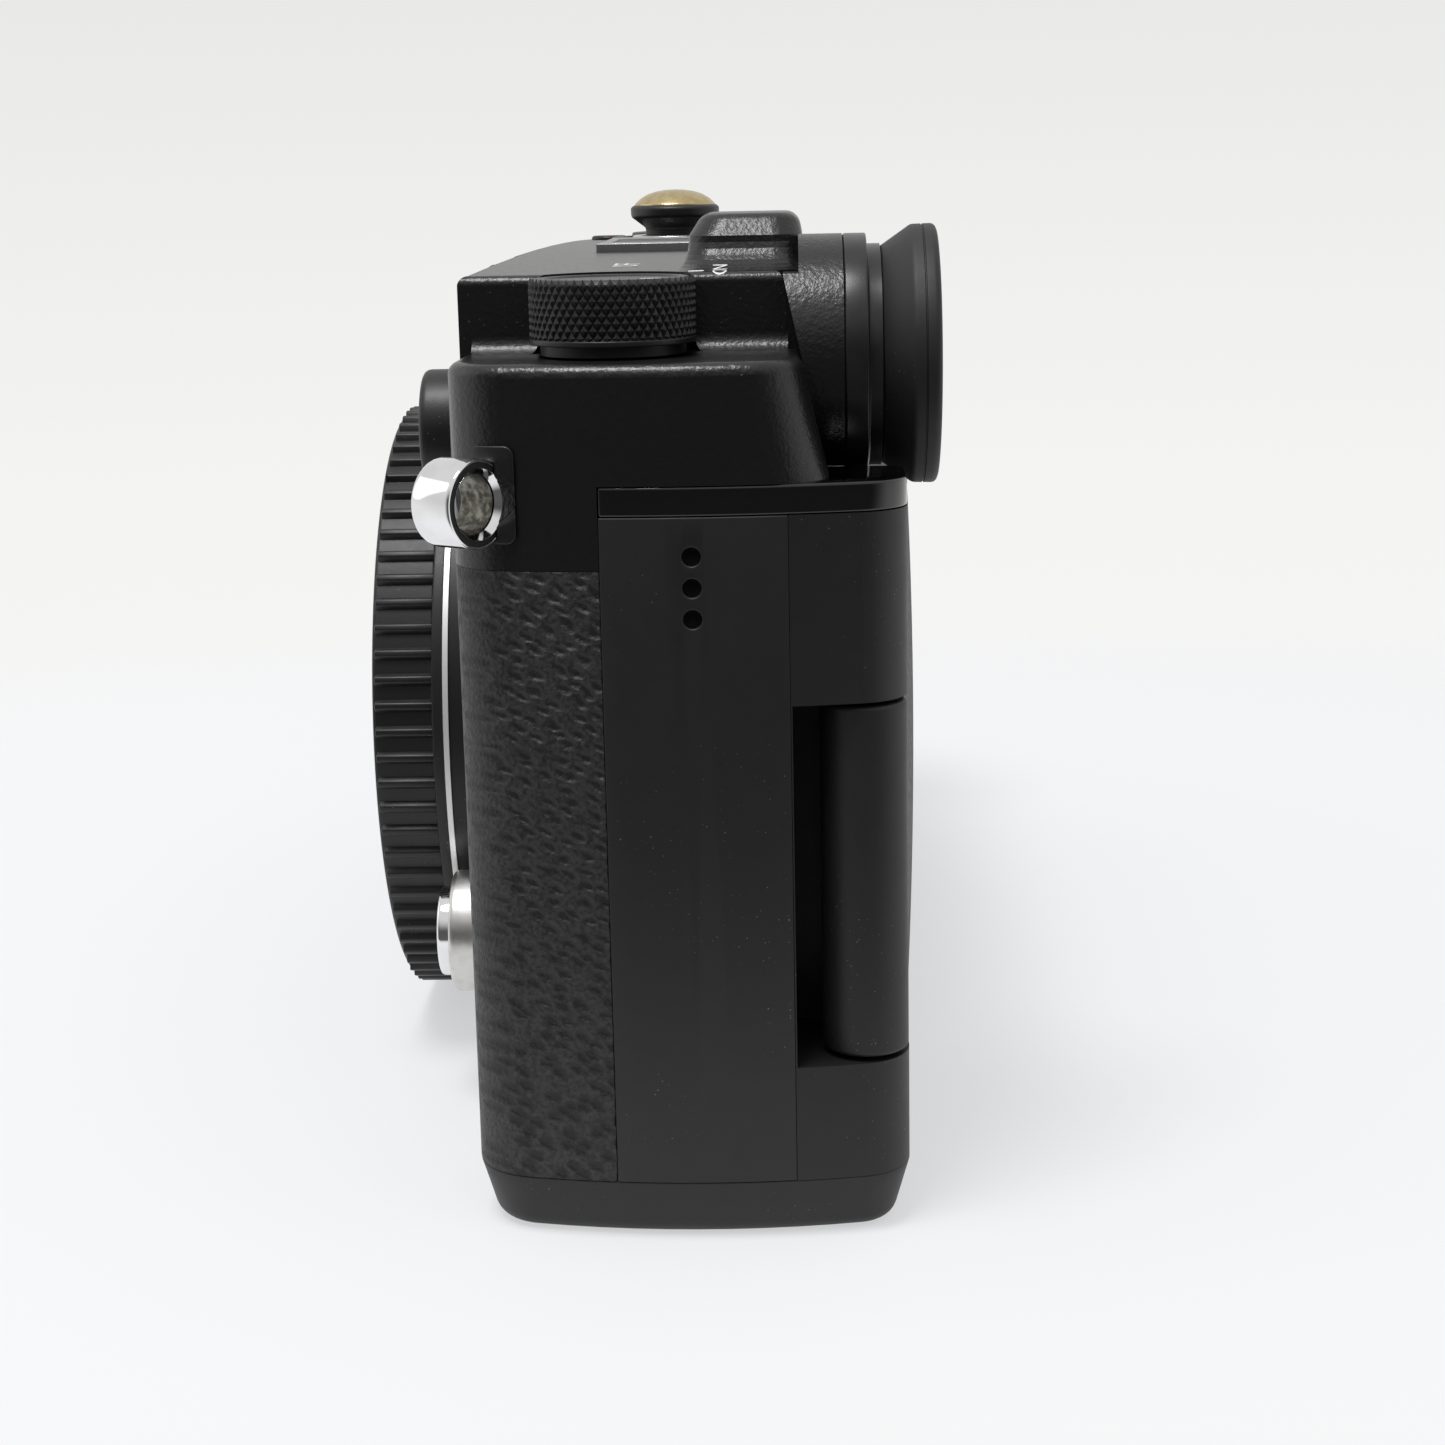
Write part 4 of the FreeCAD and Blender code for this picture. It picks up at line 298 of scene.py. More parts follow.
def make_finishes(sizes):
    """Every finish of the camera."""
    dust = (0.16, 0.16, 0.16)
    finish("cast_black", dusted(tuple(sizes.paint), (0.12, 0.12, 0.12)), fine(0.5, 0.26, 0.36),
           crinkle, 0.055)
    finish("panel_charcoal", dusted(tuple(sizes.charcoal), dust), fine(2.0, 0.46, 0.56),
           grains(0.12), 0.006)
    # The leatherette's colour carries painted shade in its pits, on top of their relief.
    finish("leather", pebble_colour(True), fine(0.6, 0.46, 0.6), pebbles(True), 0.25)
    finish("leather_flat", pebble_colour(False), fine(0.6, 0.46, 0.6), pebbles(False), 0.25)
    finish("gloss_black", (0.002, 0.002, 0.0024), fine(6.0, 0.03, 0.08), Coat_Weight=0.4, Coat_Roughness=0.02)
    finish("rubber_black", dusted((0.010, 0.010, 0.0105), dust), fine(1.0, 0.5, 0.62),
           grains(0.15), 0.006)
    finish("plastic_black", dusted((0.0062, 0.0062, 0.0066), dust), fine(0.8, 0.38, 0.48),
           grains(0.2), 0.006)
    finish("anodised_black", tones((0.017, 0.017, 0.018), (0.026, 0.026, 0.027), 1.5), fine(0.3, 0.34, 0.46),
           grains(0.1, 1.0), 0.003, Metallic=0.35)
    finish("anodised_dark", tones((0.016, 0.016, 0.017), (0.022, 0.022, 0.023), 2.0), fine(0.6, 0.26, 0.34),
           grains(0.12, 1.0), 0.002, Metallic=0.25)
    finish("satin_silver", tones((0.60, 0.59, 0.57), (0.68, 0.67, 0.66), 1.0), fine(0.15, 0.26, 0.36),
           grains(0.09, 1.0), 0.004, Metallic=1.0)
    finish("bright_chrome", tones((0.80, 0.80, 0.81), (0.86, 0.86, 0.87), 2.0), fine(1.2, 0.04, 0.09),
           grains(2.2, 1.0), 0.004, Metallic=1.0)
    finish("mount_steel", (0.88, 0.88, 0.87), fine(0.2, 0.42, 0.5), turned_lines, 0.002, Metallic=0.7)
    finish("shoe_steel", (0.30, 0.30, 0.31), fine(0.3, 0.28, 0.4), grains(0.15), 0.004,
           Metallic=1.0)
    finish("brass_dome", tones((0.50, 0.39, 0.20), (0.58, 0.47, 0.27), 0.8), fine(0.5, 0.22, 0.34),
           grains(0.25), 0.004, Metallic=1.0)
    finish("worn_bore", tones((0.06, 0.058, 0.048), (0.30, 0.29, 0.25), 0.5, 0.34, 0.8),
           fine(0.5, 0.25, 0.45), grains(0.5, 1.5), 0.03, Metallic=1.0)
    finish("screw_steel", (0.42, 0.42, 0.43), fine(0.1, 0.25, 0.4), grains(0.06, 1.0), 0.003,
           Metallic=1.0)
    finish("lens_glass", tones((0.008, 0.010, 0.016), (0.012, 0.010, 0.018), 4.0), 0.02, Coat_Weight=1.0,
           Coat_Roughness=0.01)
    finish("screen_glass", tones((0.008, 0.008, 0.009), (0.01, 0.01, 0.012), 20.0), fine(8.0, 0.04, 0.07),
           Coat_Weight=0.7, Coat_Roughness=0.02)
    finish("inner_plastic", tones((0.014, 0.014, 0.014), (0.02, 0.02, 0.02), 2.0), fine(0.4, 0.5, 0.6))
    finish("board_green", tones((0.01, 0.06, 0.03), (0.02, 0.09, 0.045), 1.0), fine(0.5, 0.3, 0.4))
    finish("battery_grey", tones((0.05, 0.05, 0.055), (0.06, 0.06, 0.065), 3.0), fine(0.5, 0.4, 0.5))
    finish("mark_white", tones((0.72, 0.72, 0.70), (0.8, 0.8, 0.78), 0.4), fine(0.2, 0.45, 0.55))
    finish("mark_red", tones((0.5, 0.03, 0.02), (0.6, 0.05, 0.03), 0.4), fine(0.2, 0.4, 0.5))
    # hole_black is painted shade for the dark insides of holes.
    finish("hole_black", (0.0015, 0.0015, 0.0015), fine(0.2, 0.7, 0.9))
    finish("pin_gold", tones((0.8, 0.58, 0.25), (0.86, 0.66, 0.32), 0.3), fine(0.1, 0.2, 0.3), Metallic=1.0)


# Mesh helpers

def soften(corners, steps=4):
    """Profile points, with a corner's third number taken as its rounding."""
    points = []
    count = len(corners)
    for index, corner in enumerate(corners):
        here = Vector(corner[:2])
        if len(corner) < 3:
            points.append(tuple(here))
            continue
        before = Vector(corners[index - 1][:2]) - here
        after = Vector(corners[(index + 1) % count][:2]) - here
        start = here + before.normalized() * min(corner[2], before.length * 0.49)
        end = here + after.normalized() * min(corner[2], after.length * 0.49)
        for step in range(steps + 1):
            t = step / steps
            points.append(tuple(start * (1 - t) ** 2 + here * (2 * t * (1 - t)) + end * t ** 2))
    return points


def at(x, y, z, turn=0, axis="Z"):
    """A place in millimetres, with a turn in degrees about one axis."""
    return Matrix.Translation((x * MM, y * MM, z * MM)) @ Matrix.Rotation(math.radians(turn), 4, axis)


def upright(x, y):
    """The place of a piece that is turned about a line along Z."""
    return at(x, y, 0)


def lying(x, z):
    """The place of a piece that is turned about a line along Y, with its heights taken as y."""
    return at(x, 0, z, -90, "X")


def linked(name, data):
    """An object in the scene."""
    made = bpy.data.objects.new(name, data)
    bpy.context.scene.collection.objects.link(made)
    return made


def settled(holder):
    """The plain mesh that a helper object comes to; the helper goes."""
    mesh = bpy.data.meshes.new_from_object(holder.evaluated_get(bpy.context.evaluated_depsgraph_get()))
    bpy.data.objects.remove(holder)
    return mesh


def thickened(shape, offset):
    """Closes an open sheet into a plate: a copy of it moved off, and walls between the two rims."""
    sheet = list(shape.faces)
    rim = [edge for edge in shape.edges if edge.is_boundary]
    moved = {vertex: shape.verts.new(vertex.co + Vector(offset)) for vertex in list(shape.verts)}
    for face in sheet:
        shape.faces.new([moved[vertex] for vertex in face.verts])
    for edge in rim:
        first, second = edge.verts
        shape.faces.new((first, second, moved[second], moved[first]))
    bmesh.ops.recalc_face_normals(shape, faces=shape.faces)


def lathe(corners, place, steps=96):
    """Closed turned surface from (radius, height, rounding) corners in millimetres."""
    shape = bmesh.new()
    rings = []
    for radius, height in soften(corners):
        if radius < 1e-4:
            rings.append([shape.verts.new((0, 0, height * MM))] * steps)
            continue
        rings.append([shape.verts.new((radius * MM * math.cos(TURN * k / steps),
                                       radius * MM * math.sin(TURN * k / steps), height * MM))
                      for k in range(steps)])
    for index, ring in enumerate(rings):
        following = rings[(index + 1) % len(rings)]
        for k in range(steps):
            after = (k + 1) % steps
            loop = []
            for vert in (ring[k], ring[after], following[after], following[k]):
                if vert not in loop:
                    loop.append(vert)
            if len(loop) > 2:
                shape.faces.new(loop)
    bmesh.ops.recalc_face_normals(shape, faces=shape.faces)
    shape.transform(place)
    return shape


def prism(outline, depth, place, rounding=0.0):
    """A flat plate from a plan outline in millimetres, with softened edges."""
    shape = bmesh.new()
    shape.faces.new([shape.verts.new((x * MM, y * MM, 0)) for x, y in outline])
    thickened(shape, (0, 0, depth * MM))
    if rounding:
        bevel(shape, rounding)
    shape.transform(place)
    return shape


def bevel(shape, width, segments=3):
    """Rounds the edges that turn by more than BEVEL_ANGLE."""
    limit = math.radians(BEVEL_ANGLE)
    edges = [edge for edge in shape.edges if edge.is_manifold and edge.calc_face_angle(0) > limit]
    bmesh.ops.bevel(shape, geom=edges, offset=width * MM, segments=segments, profile=0.5,
                    affect="EDGES", clamp_overlap=False)


def oblong(width, height, corner, steps=6):
    """Outline of a rectangle with round corners, centred."""
    points = []
    for cx, cy, start in ((1, 1, 0), (-1, 1, 90), (-1, -1, 180), (1, -1, 270)):
        for step in range(steps + 1):
            angle = math.radians(start + 90 * step / steps)
            points.append((cx * (width / 2 - corner) + corner * math.cos(angle),
                           cy * (height / 2 - corner) + corner * math.sin(angle)))
    return points


def softened_copy(node, width):
    """A merged copy of a CAD node, with its edges rounded."""
    shape = bmesh.new()
    shape.from_mesh(NODES[node].data)
    bmesh.ops.remove_doubles(shape, verts=shape.verts, dist=1e-6)
    bmesh.ops.dissolve_limit(shape, angle_limit=math.radians(FLAT_ANGLE), verts=shape.verts,
                             edges=shape.edges)
    bevel(shape, width)
    return shape


def joined(*shapes):
    """Several shapes as one."""
    first = shapes[0]
    for other in shapes[1:]:
        mesh = bpy.data.meshes.new("joining")
        other.to_mesh(mesh)
        other.free()
        first.from_mesh(mesh)
        bpy.data.meshes.remove(mesh)
    return first


def shape_of(mesh, place):
    """A mesh as a shape that can be joined, taken to its place."""
    shape = bmesh.new()
    shape.from_mesh(mesh)
    shape.transform(place)
    bpy.data.meshes.remove(mesh)
    return shape


def piece(name, shape, body, material, *stands_for):
    """Makes a shape into a piece that rides on a body and may stand for CAD nodes."""
    mesh = bpy.data.meshes.new(name)
    shape.to_mesh(mesh)
    shape.free()
    mesh.shade_smooth()
    mesh.set_sharp_from_angle(angle=math.radians(SHARP_ANGLE))
    mesh.materials.append(FINISHES[material])
    made = linked(name, mesh)
    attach(made, body)
    if stands_for:
        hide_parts(*stands_for)
    return made


def paint(material, *nodes):
    """Gives CAD nodes a finish."""
    for node in nodes:
        NODES[node].data.materials.clear()
        NODES[node].data.materials.append(FINISHES[material])


def softened(node, body, material, width):
    """Replaces a CAD node by its own shape with softened edges."""
    return piece(node + "_shell", softened_copy(node, width), body, material, node)


# Geometry node recipes

def recipe(name, inputs):
    """A geometry tree with named inputs; returns its graph and the wires of the inputs."""
    tree = bpy.data.node_groups.new(name, "GeometryNodeTree")
    graph = Graph(tree)
    for label, kind, default in inputs:
        socket = tree.interface.new_socket(label, in_out="INPUT", socket_type="NodeSocket" + kind)
        socket.default_value = default
        graph.keys[label] = socket.identifier
    socket = tree.interface.new_socket("Finish", in_out="INPUT", socket_type="NodeSocketMaterial")
    graph.keys["Finish"] = socket.identifier
    tree.interface.new_socket("Geometry", in_out="OUTPUT", socket_type="NodeSocketGeometry")
    entry = tree.nodes.new("NodeGroupInput")
    wires = {socket.name: Wire(graph, socket) for socket in entry.outputs if socket.name}
    return graph, wires


def close_recipe(graph, wires, instances):
    """Ends a recipe in real geometry with its finish set."""
    real = graph.node("GeometryNodeRealizeInstances", {}, {0: instances})
    done = graph.node("GeometryNodeSetMaterial", {}, {"Geometry": real, "Material": wires["Finish"]})
    leave = graph.tree.nodes.new("NodeGroupOutput")
    graph.tree.links.new(done.socket, leave.inputs[0])
    return graph


def ring_points(graph, count, angle, radius, height=0.0):
    """Points on a ring, count in all, each at its own angle."""
    place = graph.join(radius * angle.math("COSINE"), radius * angle.math("SINE"), height)
    line = graph.node("GeometryNodeMeshLine", {}, {"Count": count, "Offset": (0, 0, 0)})
    return graph.node("GeometryNodeSetPosition", {}, {"Geometry": line, "Position": place})


def grown(recipe_name, material, place, **values):
    """Runs a recipe and returns its result as a shape, taken to its place."""
    graph = RECIPES[recipe_name]
    holder = linked("growing", bpy.data.meshes.new("growing"))
    modifier = holder.modifiers.new("Recipe", "NODES")
    modifier.node_group = graph.tree
    for label, value in values.items():
        modifier[graph.keys[label.replace("_", " ")]] = value
    modifier[graph.keys["Finish"]] = FINISHES[material]
    return shape_of(settled(holder), place)


def stud_recipe():
    """Studs in rows round a drum: ribs, flutes or diamond knurls."""
    graph, wires = recipe("Studs round a drum", (
        ("Around", "Int", 72), ("Rows", "Int", 1), ("Radius", "Float", 6.0), ("Start", "Float", 0.0),
        ("Pitch", "Float", 0.5), ("Stagger", "Float", 0.0), ("Width", "Float", 0.5), ("Length", "Float", 3.0),
        ("Rise", "Float", 0.2), ("Taper", "Float", 0.5), ("Twist", "Float", math.pi / 4)))
    around = wires["Around"]
    index = graph.node("GeometryNodeInputIndex")
    row = (index / around + 0.0001).math("FLOOR")
    angle = (index + wires["Stagger"] * row.math("MODULO", 2)) * TURN / around
    points = ring_points(graph, around * wires["Rows"], angle, wires["Radius"] * MM,
                         (wires["Start"] + row * wires["Pitch"]) * MM)
    stud = graph.node("GeometryNodeMeshCone", {}, {"Vertices": 4, "Radius Top": wires["Taper"],
                                                   "Radius Bottom": 1.0, "Depth": 1.0})
    turned = graph.node("GeometryNodeTransform", {}, {"Geometry": stud,
                                                      "Rotation": graph.join(0.0, 0.0, wires["Twist"])})
    side = MM / math.sqrt(2)
    sized = graph.node("GeometryNodeTransform", {}, {
        "Geometry": turned,
        "Scale": graph.join(wires["Length"] * side, wires["Width"] * side, wires["Rise"] * MM)})
    instances = graph.node("GeometryNodeInstanceOnPoints", {}, {
        "Points": points, "Instance": sized, "Rotation": graph.join(0.0, math.pi / 2, angle)})
    return close_recipe(graph, wires, instances)


def bar_recipe():
    """Straight ribs round a drum, each with a trapezoid section and closed ends."""
    graph, wires = recipe("Ribs round a drum", (
        ("Around", "Int", 72), ("Radius", "Float", 6.0), ("Low", "Float", 0.0), ("High", "Float", 3.0),
        ("Root", "Float", 0.5), ("Crest", "Float", 0.3), ("Rise", "Float", 0.2)))
    index = graph.node("GeometryNodeInputIndex")
    angle = index * TURN / wires["Around"]
    points = ring_points(graph, wires["Around"], angle, wires["Radius"] * MM)
    run = graph.node("GeometryNodeCurvePrimitiveLine", {}, {
        "Start": graph.join(0.0, 0.0, wires["Low"] * MM), "End": graph.join(0.0, 0.0, wires["High"] * MM)})
    section = graph.node("GeometryNodeCurvePrimitiveQuadrilateral", {"mode": "TRAPEZOID"}, {
        "Bottom Width": wires["Root"] * MM, "Top Width": wires["Crest"] * MM,
        "Height": wires["Rise"] * (2 * MM), "Offset": 0.0})
    rib = graph.node("GeometryNodeCurveToMesh", {}, {"Curve": run, "Profile Curve": section,
                                                     "Fill Caps": True})
    instances = graph.node("GeometryNodeInstanceOnPoints", {}, {
        "Points": points, "Instance": rib, "Rotation": graph.join(0.0, 0.0, angle - math.pi / 2)})
    return close_recipe(graph, wires, instances)


def screw_recipe():
    """Screw heads with a cross recess, one on each point of a ring or a row."""
    graph, wires = recipe("Screw heads", (
        ("Count", "Int", 4), ("Ring", "Float", 24.0), ("First", "Float", 0.0), ("Radius", "Float", 1.5),
        ("Height", "Float", 0.7), ("Slot", "Float", 0.32)))
    index = graph.node("GeometryNodeInputIndex")
    angle = wires["First"] + index * TURN / wires["Count"]
    points = ring_points(graph, wires["Count"], angle, wires["Ring"] * MM)
    height = wires["Height"] * MM
    radius = wires["Radius"] * MM
    head = graph.node("GeometryNodeMeshCone", {}, {"Vertices": 40, "Radius Top": radius * 0.93,
                                                   "Radius Bottom": radius, "Depth": height})
    blade = wires["Slot"] * MM
    cut = head
    for x, y in ((radius * 1.15, blade), (blade, radius * 1.15)):
        bar = graph.node("GeometryNodeMeshCube", {}, {"Size": graph.join(x, y, height)})
        raised = graph.node("GeometryNodeTransform", {}, {
            "Geometry": bar, "Translation": graph.join(0.0, 0.0, height)})
        cut = graph.node("GeometryNodeMeshBoolean", {"operation": "DIFFERENCE"}, {0: cut, 1: raised})
    instances = graph.node("GeometryNodeInstanceOnPoints", {}, {
        "Points": points, "Instance": cut, "Rotation": graph.join(0.0, 0.0, angle)})
    return close_recipe(graph, wires, instances)


def helix_recipe():
    """A screw thread as a coiled ridge."""
    graph, wires = recipe("Thread", (
        ("Radius", "Float", 2.6), ("Turns", "Float", 4.0), ("Length", "Float", 4.0),
        ("Ridge", "Float", 0.22)))
    radius = wires["Radius"] * MM
    coil = graph.node("GeometryNodeCurveSpiral", {}, {
        "Resolution": 40, "Rotations": wires["Turns"], "Start Radius": radius, "End Radius": radius,
        "Height": wires["Length"] * MM})
    section = graph.node("GeometryNodeCurvePrimitiveCircle", {}, {
        "Resolution": 4, "Radius": wires["Ridge"] * MM})
    ridge = graph.node("GeometryNodeCurveToMesh", {}, {"Curve": coil, "Profile Curve": section,
                                                       "Fill Caps": True})
    return close_recipe(graph, wires, ridge)


# Marks

def lettering(text, height, place):
    """Flat painted characters, taken to their place."""
    curve = bpy.data.curves.new("lettering", "FONT")
    curve.body = text
    curve.size = height * MM
    curve.align_x = "CENTER"
    curve.align_y = "CENTER"
    curve.extrude = PAINT * MM / 2
    curve.resolution_u = 3
    return shape_of(settled(linked("lettering", curve)), place)


def flat_at(x, y, z, turn=0.0):
    """A place on a level face; the mark reads from the rear of the camera at no turn."""
    return at(x, y, z) @ Matrix.Rotation(math.pi + turn, 4, "Z")


def rear_at(x, y, z, turn=0.0):
    """A place on the rear face; the mark reads from the rear of the camera."""
    return at(x, y, z, 180) @ Matrix.Rotation(math.pi / 2, 4, "X") @ Matrix.Rotation(turn, 4, "Z")


def draped(shape, node):
    """Lets a flat mark down on a CAD node, following its surface."""
    ground = BVHTree.FromPolygons([vertex.co for vertex in NODES[node].data.vertices],
                                  [face.vertices for face in NODES[node].data.polygons])
    low = min(vertex.co.z for vertex in shape.verts)
    for vertex in shape.verts:
        above = Vector((vertex.co.x, vertex.co.y, 1.0))
        met = ground.ray_cast(above, Vector((0, 0, -1)))[0]
        vertex.co.z += met.z - low + DRAPE_LIFT * MM
    return shape


# Sizes and colours

class CameraSizes(bpy.types.PropertyGroup):
    """Sizes and colours of the camera's fittings."""

    paint: FloatVectorProperty(
        name="Paint", description="Colour of the crinkle paint", subtype="COLOR", size=3, min=0, max=1,
        default=(0.0065, 0.0065, 0.0068))
    charcoal: FloatVectorProperty(
        name="Charcoal", description="Colour of the smooth end panel", subtype="COLOR", size=3, min=0, max=1,
        default=(0.0098, 0.0095, 0.0106))
    cap_ribs: IntProperty(
        name="Cap ribs", description="Ribs round the body cap", default=76, min=12, max=160)
    knob_diamonds: IntProperty(
        name="Knob diamonds", description="Diamonds round the power knob", default=56, min=12, max=120)
    knob_rows: IntProperty(
        name="Knob rows", description="Rows of diamonds on the power knob", default=8, min=1, max=40)
    dial_flutes: IntProperty(
        name="Dial flutes", description="Flutes round each dial", default=60, min=12, max=160)
    edge: FloatProperty(
        name="Seam edge", description="Rounding of the edges along seams, in millimetres", default=0.12,
        min=0.02, max=0.5)


class StageSettings(bpy.types.PropertyGroup):
    """The table, the backdrop and the lamps."""

    table: FloatVectorProperty(
        name="Table", description="Colour of the table", subtype="COLOR", size=3, min=0, max=1,
        default=(0.835, 0.84, 0.85))
    backdrop: FloatVectorProperty(
        name="Backdrop", description="Colour seen behind the table", subtype="COLOR", size=3, min=0, max=1,
        default=(0.915, 0.915, 0.905))
    paleness: FloatProperty(
        name="Paleness", description="How much the table's shadows are lightened", default=0.62, min=0, max=1)
    daylight: FloatProperty(
        name="Daylight", description="Strength of the light from above", default=0.78, min=0, max=3)
    overhead: FloatProperty(
        name="Overhead", description="Power of the soft box above", default=3.0, min=0, max=50, unit="POWER")


# Operators

class CAMERA_OT_finishes(bpy.types.Operator):
    """Makes the finishes and the geometry recipes"""

    bl_idname = "camera_model.finishes"
    bl_label = "Finishes"

    def execute(self, context):
        make_finishes(context.scene.camera_sizes)
        RECIPES["studs"] = stud_recipe()
        RECIPES["bars"] = bar_recipe()
        RECIPES["screws"] = screw_recipe()
        RECIPES["thread"] = helix_recipe()
        return {"FINISHED"}


class CAMERA_OT_shells(bpy.types.Operator):
    """Paints the covers, the base, the end panel and the leatherette"""

    bl_idname = "camera_model.shells"
    bl_label = "Shells"

    def execute(self, context):
        edge = context.scene.camera_sizes.edge
        paint("cast_black", "top_cover", "front_cover")
        paint("panel_charcoal", "rear_cover")
        paint("rubber_black", "thumb_rest")
        softened("side_panel", "body", "panel_charcoal", edge)
        softened("gloss_strip", "body", "gloss_black", 2 * edge)
        softened("grip_skins", "body", "leather", edge)
        softened("base_plate", "body", "panel_charcoal", edge)
        softened("lug_plates", "body", "plastic_black", edge)
        # Near-black dished plugs in the speaker holes: painted shade for the holes' dark insides.
        holes = []
        for row in range(3):
            holes.append(lathe(((0, -0.1), (0.66, -0.1), (0.66, 0.45, 0.05), (0.3, 0.3), (0, 0.3)),
                               at(59.75, 1.8, 49.7 - 2.15 * row, 90, "Y"), 32))
        piece("speaker_hole_shade", joined(*holes), "body", "hole_black")
        seal = prism(oblong(25.8, 0.9, 0.05), 0.05, at(50.38, 8.96, 26.1, 90, "Y"))
        piece("recess_seal", seal, "body", "rubber_black")
        return {"FINISHED"}


class CAMERA_OT_finder(bpy.types.Operator):
    """Makes the finder's barrel, lens and eyecup"""

    bl_idname = "camera_model.finder"
    bl_label = "Finder"

    def execute(self, context):
        place = lying(*FINDER_AXIS)
        barrel = lathe(((5.2, 12.42), (8.5, 12.42, 0.06), (8.65, 12.56, 0.06), (8.65, 14.1, 0.14),
                        (8.0, 14.12, 0.05), (7.9, 14.2, 0.05), (7.9, 15.08), (5.9, 15.08), (5.9, 13.5),
                        (5.2, 13.5)), place, 160)
        piece("finder_barrel_rings", barrel, "body", "anodised_dark", "finder_barrel")
        lens = lathe(((0, 13.52), (5.85, 13.52), (5.85, 14.3, 0.1), (4.2, 14.7), (2.1, 14.95), (0, 15.05)),
                     place)
        piece("eyepiece_glass", lens, "body", "lens_glass", "eyepiece_lens")
        cup = lathe(((5.4, 15.12), (7.7, 15.12, 0.1), (8.95, 16.95, 0.25), (9.2, 17.3, 0.2), (9.22, 18.0),
                     (9.14, 18.05), (9.14, 18.11), (9.22, 18.15), (9.25, 19.15, 0.75), (7.7, 19.15, 0.5),
                     (6.0, 17.2, 0.6), (5.4, 16.3, 0.3)), place, 160)
        piece("eyecup_rubber", cup, "body", "rubber_black", "eyecup")
        return {"FINISHED"}


class CAMERA_OT_mount(bpy.types.Operator):
    """Makes the lens mount and the ribbed body cap"""

    bl_idname = "camera_model.mount"
    bl_label = "Mount and cap"

    def execute(self, context):
        sizes = context.scene.camera_sizes
        place = lying(*LENS_AXIS)
        paint("plastic_black", "mount_base")
        paint("anodised_dark", "chassis")
        paint("mount_steel", "mount_ring")
        screws = grown("screws", "screw_steel", at(0, -19.92, LENS_AXIS[1], 90, "X"), Count=4, Ring=23.75,
                       First=math.pi / 4, Radius=1.45, Height=0.66)
        piece("mount_screw_heads", screws, "body", "screw_steel", "mount_screws")
        paint("inner_plastic", "lens_contacts")
        cap = lathe(((0, -26.5), (21.0, -26.5, 0.3), (21.6, -26.2, 0.3), (22.4, -26.2, 0.3),
                     (23.0, -26.7, 0.3), (26.25, -26.7, 0.35), (26.25, -21.7, 0.1), (26.9, -21.6, 0.15),
                     (26.9, -20.66, 0.15),
                     (24.9, -20.66, 0.1), (24.9, -24.8, 0.3), (18.5, -24.8, 0.3), (18.5, -16.4, 0.3),
                     (16.9, -16.4, 0.3), (16.9, -24.8, 0.5), (0, -24.8)), place, 228)
        ribs = grown("bars", "plastic_black", place, Around=sizes.cap_ribs, Radius=26.25, Low=-26.42,
                     High=-21.55, Root=1.6, Crest=0.5, Rise=0.5)
        bevel(ribs, 0.12, 2)
        claws = []
        for index in range(3):
            angle = math.radians(150 + 120 * index)
            outline = []
            for radius, order in ((19.85, range(9)), (18.3, reversed(range(9)))):
                for step in order:
                    part = angle + math.radians(34 * (step / 8 - 0.5))
                    outline.append((radius * math.cos(part), radius * math.sin(part)))
            claws.append(prism(outline, 1.2, place @ at(0, 0, -19.2), 0.12))
        piece("body_cap_moulding", joined(cap, ribs, *claws), "body_cap", "plastic_black", "body_cap")
        return {"FINISHED"}


class CAMERA_OT_lugs(bpy.types.Operator):
    """Makes both strap lugs"""

    bl_idname = "camera_model.lugs"
    bl_label = "Strap lugs"

    def execute(self, context):
        tubes = []
        linings = []
        guards = []
        for x, heading in ((59.97, 55.0), (-63.07, 125.0)):
            along = math.radians(heading)
            axis = Vector((math.cos(along), math.sin(along), 0))
            place = at(x, -13.86, 53.5) @ axis.to_track_quat("Z", "Y").to_matrix().to_4x4()
            tubes.append(lathe(((2.25, -1.8, 0.1), (3.1, -1.8, 0.6), (3.1, 1.8, 0.3), (2.86, 1.8, 0.04),
                                (2.86, 1.6), (2.45, 1.6), (2.45, 1.8, 0.03), (2.1, 1.25), (2.25, 1.2)),
                               place))
            linings.append(lathe(((2.0, -1.79, 0.15), (2.24, -1.79, 0.1), (2.24, 1.18), (2.0, 1.18)), place))
            guards.append(lathe(((2.46, 1.62), (2.84, 1.62), (2.84, 1.78, 0.03), (2.46, 1.78, 0.03)), place))
        piece("strap_lug_tubes", joined(*tubes), "body", "bright_chrome", "strap_lugs")
        piece("strap_lug_bores", joined(*linings), "body", "worn_bore")
        piece("strap_lug_guards", joined(*guards), "body", "plastic_black")
        return {"FINISHED"}


